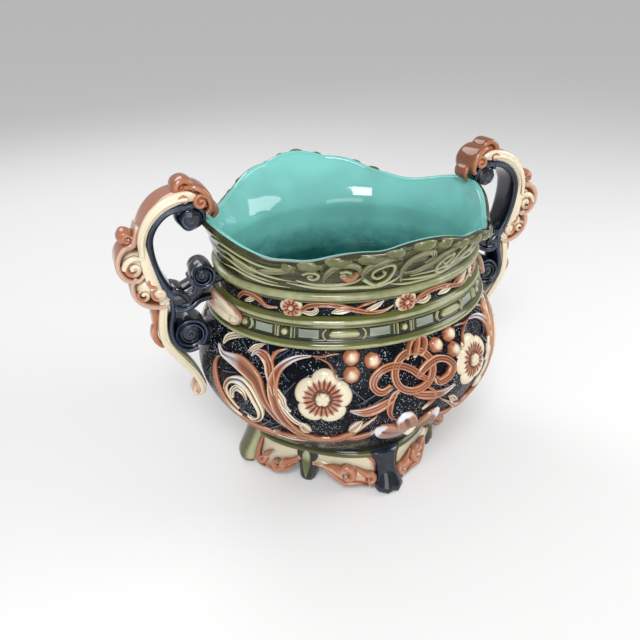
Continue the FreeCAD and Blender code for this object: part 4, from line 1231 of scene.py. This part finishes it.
def tapered(places, widest, high, root=0.25, tip=0.1):
    """Rows for lay from plain places: the width swells from the root and runs out at the tip."""
    rows = []
    last = len(places) - 1
    for i, (turn, z) in enumerate(places):
        share = i / last
        swell = min(1.0, root + 2.4 * share, tip + 2.6 * (1 - share))
        rows.append((turn, z, widest * swell, high * (0.6 + 0.4 * swell)))
    return rows


def vine(surface, widest, high, section, paint, places, **ends):
    return lay("vine", surface, tapered(places, widest, high, **ends), section, paint)


def vines(surface, *rows):
    """Several vines; the rows hold half width, height, section, paint and places."""
    return [vine(surface, *row) for row in rows]


def swollen(name, widest, high, tip, places, swell):
    """A vine that is wider than its taper by so much at each place."""
    rows = tapered(places, widest, high, tip=tip)
    rows = [(turn, z, half * wider, tall) for (turn, z, half, tall), wider in zip(rows, swell)]
    return lay(name, wall, rows, STRAP, white_tip)


def build_flowers():
    flower = blossom("flower", 24.0, 4.6, 20, wall, *FLOWER, degrees=14.0)
    quarters("belly_flower", [flower], cream_glaze)


def eye_paint(share, aside, top):
    """Cream strap, brown along its inner edge, frost at its turn."""
    return (max(0.0, 1.3 - 2.0 * abs(aside - 0.3)), max(0.0, 1.0 - 9.0 * abs(share - 0.38)), 0.0)


def white_tip(share, aside, top):
    return (max(0.0, 1.4 * aside - 0.5), max(0.0, 3.4 * share - 2.2), 0.0)


def build_vines():
    stem = [(250, 99), (244, 91.5), (238, 91), (233.6, 95), (229.3, 105.8), (226.4, 116.8), (224.6, 127)]
    stem += [(223.5, 137), (223.4, 146), (224.7, 154.4), (227.6, 160.6), (231.3, 164.4), (235.7, 165.9)]
    stem_swell = (1, 1, 1, 1, 1, 1.1, 1.2, 1.3, 1.2, 1.2, 1.35, 1.5, 1.3)
    outer = [(238, 92), (233.2, 97), (229, 103.6), (225.6, 111), (223, 118.7), (220.6, 126.6)]
    outer += [(218.6, 135)]
    outer += [(216.4, 142.5), (212.4, 147.7), (207.4, 151), (201.9, 151.2), (197.6, 151.4)]
    outer += [(194.0, 156.0)]
    outer_swell = (1, 1, 1, 1, 1, 1.2, 1.6, 2.1, 2.5, 2.5, 2.1, 1.6, 1)
    leaf = [(224, 133), (223.2, 141), (221.7, 150), (220.3, 157), (217.5, 162), (214.2, 162.4)]
    leaf += [(212.6, 158.6)]
    border = [(196, 147.4), (194.8, 141), (195.6, 133.6), (197.4, 124.8), (200.3, 114.3)]
    border += [(203.6, 106), (208, 99)]
    garland = [(222, 92), (227.7, 90.3), (236.7, 89.6), (241.8, 89.4), (246.5, 92), (250.1, 98.6)]
    garland += [(253.9, 106.8), (258.1, 115.3)]
    low_tendril = [(236.4, 165.9), (241.5, 162), (243.8, 156.3), (244.8, 150.4), (248, 150.6)]
    parts = [swollen("stem", 3.6, 4.0, 0.15, stem, stem_swell)]
    parts.append(swollen("outer", 2.6, 3.8, 0.3, outer, outer_swell))
    parts.append(vine(wall, 2.5, 3.6, STRAP, second_tip, garland, root=0.5))
    parts += vines(
        wall,
        (3.8, 4.2, LEAF, white_tip, leaf),
        (2.6, 3.6, ROUND, second_tip, border),
        (1.8, 3.0, ROUND, frost_tip, [(222.6, 154), (221.2, 160), (222.6, 166), (226.6, 169.4)]),
        (1.2, 2.6, ROUND, second_tip, [(235.7, 166.3), (239.5, 165.7), (242.7, 167.2), (246.0, 167.9)]),
        (1.2, 2.6, ROUND, second_tip, low_tendril),
        (1.9, 3.0, LEAF, frost_tip, [(246.4, 93), (250.6, 90.4), (255.6, 93.4), (259.4, 99.6)]),
        (3.0, 3.2, LEAF, second_tip, [(205.4, 100), (212, 92.6), (219, 88.4), (227, 86)]),
    )
    quarters("belly_vine", parts, salmon_glaze)


def bud_paint(share, aside, top):
    return (0.5 * (aside > 0), 0.0, 0.0)


def build_leaves():
    """Pale leaves between the vines, edged with frosted glaze."""
    eye = [(208.6, 109), (204.6, 118), (203, 126.6), (205.4, 134.6), (210, 137.6), (214.1, 133.6)]
    eye += [(217, 125.3), (218.8, 115.6), (217.6, 106.6), (214.2, 101.6), (212, 104.6)]
    in_eye = [(206.4, 118.6), (206.4, 125), (208.6, 130.6), (211.6, 128.6), (213, 122)]
    parts = [vine(wall, 3.6, 4.4, STRAP, eye_paint, eye, root=0.05)]
    parts += vines(
        wall,
        (2.3, 3.8, LEAF, second_tip, in_eye),
        (3.0, 3.4, LEAF, frost_tip, [(223.8, 142), (225.2, 136.4), (227, 131), (227.8, 125.6), (230, 121)]),
        (1.4, 3.0, LEAF, frost_tip, [(226, 128), (228.6, 119.6), (231.8, 111), (235, 106)]),
        (3.0, 3.0, LEAF, second_tip, [(221.4, 92.6), (224.1, 90), (229.4, 87), (236, 85.4)]),
        (2.6, 3.2, LEAF, frost_tip, [(196.6, 158), (198, 164), (202.4, 168.6), (206.6, 169.4)]),
        (2.4, 3.0, LEAF, frost_tip, [(210.4, 160.4), (213.4, 165.6), (216.8, 169.6)]),
    )
    for turn, z, lean in ((235, 103.6, -2.6), (250.5, 104.6, 3.0)):
        bud = [(turn - 0.4 * lean, z - 4, 1.4, 2), (turn, z, 3.4, 4)]
        bud += [(turn + 0.5 * lean, z + 4.4, 2.8, 3.6), (turn + lean, z + 7, 0.6, 2)]
        parts.append(lay("bud", wall, bud, LEAF, bud_paint))
    quarters("belly_leaf", parts, cream_glaze, in_cad=False)


def line_crest_highlight(share, aside, top):
    # Slate on the crest of each raised line: painted highlight.
    return (0.75 if top > 0.9 else 0.0, 0.0, 0.0)


def build_lattice():
    """Straight raised lines of the ground, ink blue like it; each from one place to another."""
    parts = []
    for turn, z, end_turn, end_z in (
        (203.8, 170, 214.3, 156), (196.7, 158.2, 203, 170), (222.5, 161, 227.4, 169), (223.9, 158, 229.1, 167.5),
        (217.9, 169.6, 219.6, 163), (224.8, 128, 231, 146), (228, 124, 231.5, 113), (230.9, 116.6, 235, 108),
        (252, 128, 262, 141), (255, 125, 264.4, 136), (221.8, 106.7, 217, 96), (226.1, 104.6, 220, 94),
        (219, 97, 210, 107), (256, 96, 267, 84), (259, 99.4, 269, 88), (215, 112, 222.6, 103),
        (229, 146, 225.6, 152), (255, 130, 249, 144), (252, 118, 256, 128), (207, 142, 200, 138),
    ):
        middle = ((turn + end_turn) / 2, (z + end_z) / 2, 0.8, 1.5)
        rows = [(turn, z, 0.7, 1.3), middle, (end_turn, end_z, 0.7, 1.3)]
        parts.append(lay("line", wall, rows, FLAT, line_crest_highlight))
    quarters("belly_lattice", parts, navy_glaze, in_cad=False)


DOUBLE = (0.0, 0.95, 0.86, 0.62, 1.0)  # strap with a ridge on each side and one in the middle
WALL_MM = 122.0  # radius that turns are read at where a form is round in millimetres


def strap_paint(share, aside, top):
    """Pale ridges with a dark groove between them."""
    ridge = max(0.0, 0.9 - 6.0 * abs(abs(aside) - 0.92)) * (0.5 + 0.5 * math.sin(7 * share))
    return (ridge, 0.0, max(0.0, 0.9 - 6.0 * abs(abs(aside) - 0.42)))


def ring_rows(turn, z, radius, half, high):
    """Rows once round a circle, its ends just apart at the top."""
    rows = []
    for i in range(13):
        angle = math.radians(90.0 + 350.0 * i / 12)
        aside = math.degrees(radius * math.cos(angle) / WALL_MM)
        rows.append((turn + aside, z + radius * math.sin(angle), half, high))
    return rows


def build_knots():
    parts = [lay("ring", wall, ring_rows(271.6, 148.0, 15.2, 2.9, 4.2), DOUBLE, strap_paint)]
    for aside, half in ((-3.4, 1.9), (0.0, 2.4), (3.2, 1.9)):
        finger = [(275.4 + 0.6 * aside, 172.4, half, 6.4), (274.6 + aside, 167, half, 6.6)]
        finger += [(273.4 + aside, 161, half, 5.6), (272.6 + 0.8 * aside, 157.4, 0.8, 3)]
        parts.append(lay("finger", wall, finger, ROUND, second_tip))
    left = [(263, 140.4), (259.6, 137.4), (257, 142.2), (257.4, 149), (260.6, 154.4)]
    left += [(265.4, 155.4), (270, 151)]
    left += [(273.2, 144), (277, 137.4)]
    right = [(272, 143), (276, 149.4), (280.6, 152), (285, 148.4), (287, 141.4), (284.6, 135)]
    right += [(280.4, 133.4)]
    right += [(279.4, 138)]
    parts.append(vine(wall, 2.9, 5.4, DOUBLE, strap_paint, left, root=0.6, tip=0.6))
    parts.append(vine(wall, 2.9, 5.8, DOUBLE, strap_paint, right, root=0.6, tip=0.5))
    parts += vines(
        wall,
        (2.6, 3.8, STRAP, strap_paint, [(266.4, 137), (263.6, 132), (262.4, 124), (262.6, 115), (265, 107.4)]),
        (3.4, 3.8, LEAF, frost_tip, [(268.6, 134), (272.6, 128), (277, 124), (282, 121.4), (288.4, 123)]),
        (3.6, 3.8, LEAF, frost_tip, [(264.6, 131.6), (259.6, 125), (254.4, 121.6), (249.4, 123.6)]),
        (2.2, 3.4, ROUND, second_tip, [(275.6, 133), (278.6, 126), (278.4, 118), (274.6, 111)]),
    )
    front_and_back("knot", parts, salmon_glaze)
    bunches = []
    for turn, z in ((250.0, 165.0), (250.0, 152.6), (257.4, 161.4)):
        for at in (turn, 540.0 - turn):
            bunches.append(berry("berry", wall, at, z, 6.9, 0.8))
    bunches += [half_turned(one) for one in bunches]
    hand_over(join(bunches, "knot_berries_glazed"), salmon_glaze, "knot_berries")


PETAL = (0.0, 0.95, 0.8, 0.94, 0.78)


def petal_paint(share, aside, top):
    """Brown rays from the root, the rounded end frosted white."""
    frost = max(0.0, 5.0 * share - 2.9, 3.0 * abs(aside) - 2.2 if share > 0.4 else 0.0)
    ray = 1.1 * max(0.0, math.cos(12.5 * aside)) if share < 0.7 else 0.0
    return (0.0, frost, max(ray, 0.5 - 1.2 * share))


def build_fans():
    """Half-opened flower: overlapping petals rising from one root, white at their tips."""
    left = [(272, 85.5, 2, 2.4), (268.6, 88, 6, 3.6), (265, 91.4, 8.4, 4.2), (261.6, 95.4, 8.6, 4.2)]
    left += [(259.4, 98.4, 6, 3.4), (258.4, 99.8, 1.5, 2)]
    right = [(273.4, 86.5, 2, 2.6), (275.8, 91.4, 5, 4.4), (278.4, 96.4, 6.2, 4.8)]
    right += [(280.8, 101, 5.2, 4.2)]
    right += [(282.4, 104.4, 1.4, 2)]
    tall = [(272.4, 86.5, 2.4, 3), (271.2, 92.5, 6.4, 4.6), (269.8, 99, 9.2, 5.2), (268.6, 105.4, 9.2, 5)]
    tall += [(267.8, 110, 6.4, 3.6), (267.4, 112, 1.5, 2)]
    calyx = [(272.4, 83.4, 1.6, 4), (271, 86, 4, 6), (272, 90, 3.4, 6), (273.6, 93, 1, 4)]
    parts = [lay("petal", wall, rows, PETAL, petal_paint) for rows in (left, right, tall)]
    front_and_back("fan_flower", parts + [lay("calyx", wall, calyx, ROUND, all_second)], salmon_glaze)


# ---------------------------------------------------------------------------------------------
# Relief of the neck: six flowers and a waving tendril between the rolls
# ---------------------------------------------------------------------------------------------


def from_turn(start, places):
    return [(start + turn, z) for turn, z in places]


def build_neck():
    flowers = []
    for turn in (225.0, 270.0, 315.0, 45.0, 90.0, 135.0):
        flowers.append(blossom("neck_flower", 9.8, 3.0, 10, wall, turn + 1.8, 203.2, degrees=30.0, flush=0.5))
    hand_over(join(flowers, "neck_flowers_glazed"), cream_glaze, "neck_flowers")
    tendrils, leaves = [], []
    waves = [(5.5, 201.5), (9, 206.4), (14, 208), (20, 207), (26, 203.2), (32, 199.8)]
    waves += [(37.5, 199.4), (41.5, 203)]
    branch = [(27, 204), (31, 207), (34.5, 208.2)]
    for start in (225.0, 270.0):
        tendrils.append(vine(wall, 1.9, 3.0, STRAP, second_tip, from_turn(start, waves), root=0.7))
        tendrils.append(vine(wall, 1.2, 2.4, ROUND, frost_tip, from_turn(start, branch)))
        for widest, high, places in (
            (3.0, 2.8, [(26, 203.6), (21.5, 203), (17.5, 200.8)]),
            (1.7, 2.6, [(5, 202), (9.5, 200), (12, 202.6), (11, 205.6)]),
            (1.8, 2.6, [(30, 201), (34, 204), (37.5, 208)]),
        ):
            leaves.append(vine(wall, widest, high, LEAF, frost_tip, from_turn(start, places)))
    side_waves = [(200, 200), (203.5, 206.4), (207.5, 208), (212, 206), (216, 201), (221, 201.6)]
    side_leaf = [(204, 199.8), (208, 203.4), (210.6, 206)]
    tendrils.append(vine(wall, 1.9, 3.0, STRAP, second_tip, side_waves, root=0.7))
    leaves.append(vine(wall, 2.2, 2.6, LEAF, frost_tip, side_leaf))
    for pieces in (tendrils, leaves):
        pieces.append(mirrored(pieces[-1], "twin", 0))
    front_and_back("neck_tendril", tendrils, salmon_glaze, in_cad=False)
    front_and_back("neck_leaf", leaves, cream_glaze, in_cad=False)


# ---------------------------------------------------------------------------------------------
# Relief of the rim band: curled leaves under the lip, long veins beside the handles
# ---------------------------------------------------------------------------------------------

BAND_MM = 38.0  # height of the rim band that one share stands for


def rim_crest_highlight(share, aside, top):
    # Pale second glaze on the crest of each rim vine: painted highlight.
    return (0.95 * max(0.0, top) ** 2, 0.0, 0.0)


def rim_vines(*rows):
    """Vines on the rim band; the rows hold half width, height, section and places."""
    return [vine(rim, widest, high, section, rim_crest_highlight, places) for widest, high, section, places in rows]


def rim_coil(turn, share, radius, start, turns, half, high, flat=1.0):
    """Spiral of a curled leaf, flat below 1 where the leaf lies long."""
    rows = []
    for i in range(11):
        part = i / 10
        reach = radius * (1 - 0.86 * part)
        angle = math.radians(start + 360 * turns * part)
        aside = math.degrees(reach * math.cos(angle) / WALL_MM)
        up = reach * flat * math.sin(angle) / BAND_MM
        rows.append((turn + aside, share + up, half * (1 - 0.35 * part), high))
    return lay("rim_curl", rim, rows, ROUND, rim_crest_highlight)


def lip_lump(turn, share, wide, tall, second=0.25):
    """Fleshy lobe where a leaf turns over the lip."""
    piece = ball("lip_lump", 24, 14)
    point, out = rim(turn, share)
    along = Vector((-math.sin(math.radians(turn)), DEPTH * math.cos(math.radians(turn)), 0)).normalized()
    up = out.cross(along).normalized()
    if up.z < 0:
        up = -up
    for vertex in piece.data.vertices:
        x, y, z = vertex.co
        ripple = 1 + 0.1 * math.sin(7 * x)
        depth = 4.6 if z > 0 else 1.2
        vertex.co = point + along * wide * x + up * tall * y + out * depth * ripple * z
    weights(piece, lambda co: (second, 0.0, 0.0))
    tidy_normals(piece)
    return piece


def rim_front():
    """The ornament between the handles, as it runs over the front."""
    low_left = [(226, 0.32), (234, 0.22), (243, 0.16), (252, 0.14), (260, 0.12), (266.4, 0.2)]
    low_left += [(268.4, 0.4)]
    left_coil = [(240, 0.36), (241.6, 0.6), (245.6, 0.82), (250.4, 0.78), (252.6, 0.6), (251.4, 0.38)]
    middle = [(268.6, 0.12), (267.6, 0.4), (269.6, 0.66), (274, 0.74), (277, 0.6), (275.6, 0.46)]
    right_coil = [(272, 0.2), (280, 0.22), (292, 0.26), (298, 0.5), (296, 0.74), (290, 0.8)]
    parts = [
        rim_coil(259.6, 0.46, 12.6, 200, 1.6, 2.2, 3.4),
        rim_coil(286.0, 0.42, 12.0, 60, -1.5, 2.2, 3.2, 1.25),
        rim_coil(236.6, 0.6, 7.0, 150, -1.3, 1.9, 3.0),
        rim_coil(247.6, 0.5, 6.0, 120, -1.2, 1.8, 2.8, 0.8),
    ]
    parts += rim_vines(
        (2.2, 2.6, ROUND, low_left),
        (1.9, 2.4, ROUND, [(230, 0.42), (236, 0.3), (244, 0.24), (251, 0.28), (254.6, 0.44)]),
        (2.6, 3.4, LEAF, [(253.6, 0.36), (254, 0.58), (257, 0.8), (261.6, 0.84), (265, 0.7)]),
        (2.4, 3.0, LEAF, left_coil),
        (2.4, 3.0, LEAF, middle),
        (2.2, 2.8, LEAF, [(269, 0.3), (274, 0.3), (279, 0.46), (281, 0.72), (285, 0.9)]),
        (2.0, 2.4, ROUND, [(268, 0.16), (276, 0.12), (285, 0.1), (294, 0.16), (300, 0.34)]),
        (1.5, 2.0, ROUND, [(264, 0.12), (270, 0.06), (278, 0.05), (288, 0.03)]),
        (2.0, 2.6, ROUND, right_coil),
        (2.0, 2.4, ROUND, [(296, 0.3), (303, 0.26), (310, 0.3), (317, 0.42)]),
        (2.2, 2.6, LEAF, [(300, 0.5), (306, 0.44), (312, 0.52), (320, 0.7)]),
    )
    for turn, share, wide, tall in (
        (229.5, 0.92, 6, 4.0), (237.2, 0.96, 9.4, 5.6), (246, 0.94, 10, 5.6), (255, 0.93, 10, 6.4),
        (260.8, 0.96, 7.5, 7.0), (268.4, 0.97, 9.6, 7.0), (274.6, 0.96, 7.0, 6.0), (281, 0.95, 7.4, 5.6),
        (288, 0.93, 8.6, 5.4), (296.4, 0.93, 9, 5), (305, 0.93, 8, 4.6), (313, 0.92, 7, 4.0),
    ):
        parts.append(lip_lump(turn, share, wide, tall))
    parts.append(lip_lump(249.6, 0.5, 4.2, 3.4, 0.1))
    return parts


def rim_sides():
    """Long leaf veins beside a handle, the same on both sides of it."""
    return rim_vines(
        (2.0, 2.2, ROUND, [(190, 0.62), (198, 0.66), (206, 0.6), (214, 0.5), (223, 0.42), (231, 0.34)]),
        (1.8, 2.0, ROUND, [(189, 0.42), (197, 0.44), (205, 0.36), (213, 0.3), (222, 0.24)]),
        (1.8, 2.0, ROUND, [(191, 0.2), (199, 0.26), (207, 0.22), (216, 0.16), (227, 0.14)]),
        (1.9, 2.4, LEAF, [(200, 0.64), (204, 0.5), (209, 0.44), (213, 0.52), (211, 0.62)]),
        (2.2, 2.6, LEAF, [(214, 0.56), (219, 0.66), (225, 0.74), (231, 0.76)]),
        (1.8, 2.2, ROUND, [(188, 0.8), (197, 0.86), (207, 0.84), (218, 0.8), (228, 0.84)]),
    )


def build_rim():
    front = join(rim_front(), "rim_front")
    side = join(rim_sides(), "rim_side")
    twin = mirrored(side, "twin", 0)
    sides = [side, mirrored(side, "twin", 1), twin, mirrored(twin, "twin", 1)]
    build_rim_band([front, half_turned(front)] + sides)
    bud = [(246.6, 0.5, 1.6, 4), (248.4, 0.44, 4.2, 5.4), (250.4, 0.46, 4.0, 5.4), (251.8, 0.54, 1.4, 4)]
    front_and_back("rim_bud", [lay("rim_bud", rim, bud, ROUND)], salmon_glaze, in_cad=False)


# ---------------------------------------------------------------------------------------------
# The whole pot
# ---------------------------------------------------------------------------------------------

for build in (
    build_bowl, build_lining, build_rim, build_rolls, build_belt, build_studs,
    build_plinth, build_feet, build_brackets, build_aprons,
    build_arm, build_ball, build_leaf, build_lobes, build_crest,
    build_upper_volute, build_scroll, build_low_volute, build_back_leaf, build_clasps,
    build_flowers, build_vines, build_leaves, build_lattice, build_knots, build_fans, build_neck,
):
    build()
deselect()
ROD.select_set(True)
bpy.ops.object.delete()


# ---------------------------------------------------------------------------------------------
# Camera, light and floor
# ---------------------------------------------------------------------------------------------

TILT, ROLL, FOCAL, DISTANCE = 0.51124, 0.02354, 593.9, 4.50011
SHIFT_X, SHIFT_Y, HEADING = 0.19875, -0.03157, 0.37805
SENSOR, PICTURE_WIDTH = 36.0, 640.0  # the focal length is given in pixels of that width
UNIT = 0.130  # the lip's half-width at the handles, which the other camera lengths are given in


def place_camera():
    right = Vector((math.cos(HEADING), -math.sin(HEADING), 0))
    ahead = Vector((math.sin(HEADING), math.cos(HEADING), 0))
    up = ahead * math.sin(TILT) + Vector((0, 0, math.cos(TILT)))
    forward = ahead * math.cos(TILT) - Vector((0, 0, math.sin(TILT)))
    spot = Vector((0, 0, 1)) - right * SHIFT_X - up * SHIFT_Y - forward * DISTANCE
    turned_right = right * math.cos(ROLL) - up * math.sin(ROLL)
    turned_up = right * math.sin(ROLL) + up * math.cos(ROLL)
    data = bpy.data.cameras.new("camera")
    camera = bpy.data.objects.new("camera", data)
    bpy.context.collection.objects.link(camera)
    matrix = Matrix((turned_right, turned_up, -forward)).transposed().to_4x4()
    matrix.translation = spot * UNIT
    camera.matrix_world = matrix
    data.sensor_width = SENSOR
    data.lens = FOCAL * SENSOR / PICTURE_WIDTH
    bpy.context.scene.camera = camera


def place_floor():
    deselect()
    bpy.ops.mesh.primitive_plane_add(size=120.0, location=(0, 0, 0))
    floor = bpy.context.object
    floor.name = "floor"
    material = bpy.data.materials.new("floor_paper")
    material.use_nodes = True
    shader = material.node_tree.nodes["Principled BSDF"]
    shader.inputs["Base Color"].default_value = (0.8, 0.8, 0.8, 1)
    shader.inputs["Roughness"].default_value = 1.0
    shader.inputs["Specular IOR Level"].default_value = 0.0
    shader.inputs["Emission Color"].default_value = (1, 1, 1, 1)
    rays = material.node_tree.nodes.new("ShaderNodeLightPath").outputs
    seen = combine(material.node_tree, "MAXIMUM", rays["Is Camera Ray"], rays["Is Glossy Ray"])
    glow = combine(material.node_tree, "MULTIPLY", seen, 0.14)
    material.node_tree.links.new(glow, shader.inputs["Emission Strength"])
    floor.data.materials.append(material)


def place_lamp(name, spot, size, power):
    deselect()
    bpy.ops.object.light_add(type="AREA", location=spot)
    lamp = bpy.context.object
    lamp.name = name
    lamp.data.size = size
    lamp.data.energy = power
    lamp.rotation_euler = (Vector((0, 0, 0.13)) - Vector(spot)).to_track_quat("-Z", "Y").to_euler()


def place_world():
    world = bpy.data.worlds.new("studio")
    bpy.context.scene.world = world
    world.use_nodes = True
    world.node_tree.nodes["Background"].inputs["Color"].default_value = (1, 1, 1, 1)
    world.node_tree.nodes["Background"].inputs["Strength"].default_value = 0.42


place_camera()
place_floor()
place_world()
place_lamp("key_lamp", (-0.5, -0.9, 1.3), 0.5, 11.0)
place_lamp("fill_lamp", (1.2, -0.4, 0.9), 0.7, 6.5)
place_lamp("back_lamp", (-0.3, 1.1, 1.2), 0.8, 6.0)
place_lamp("front_lamp", (-0.3, -1.5, 0.5), 0.9, 6.0)

scene = bpy.context.scene
scene.view_settings.view_transform = "Standard"
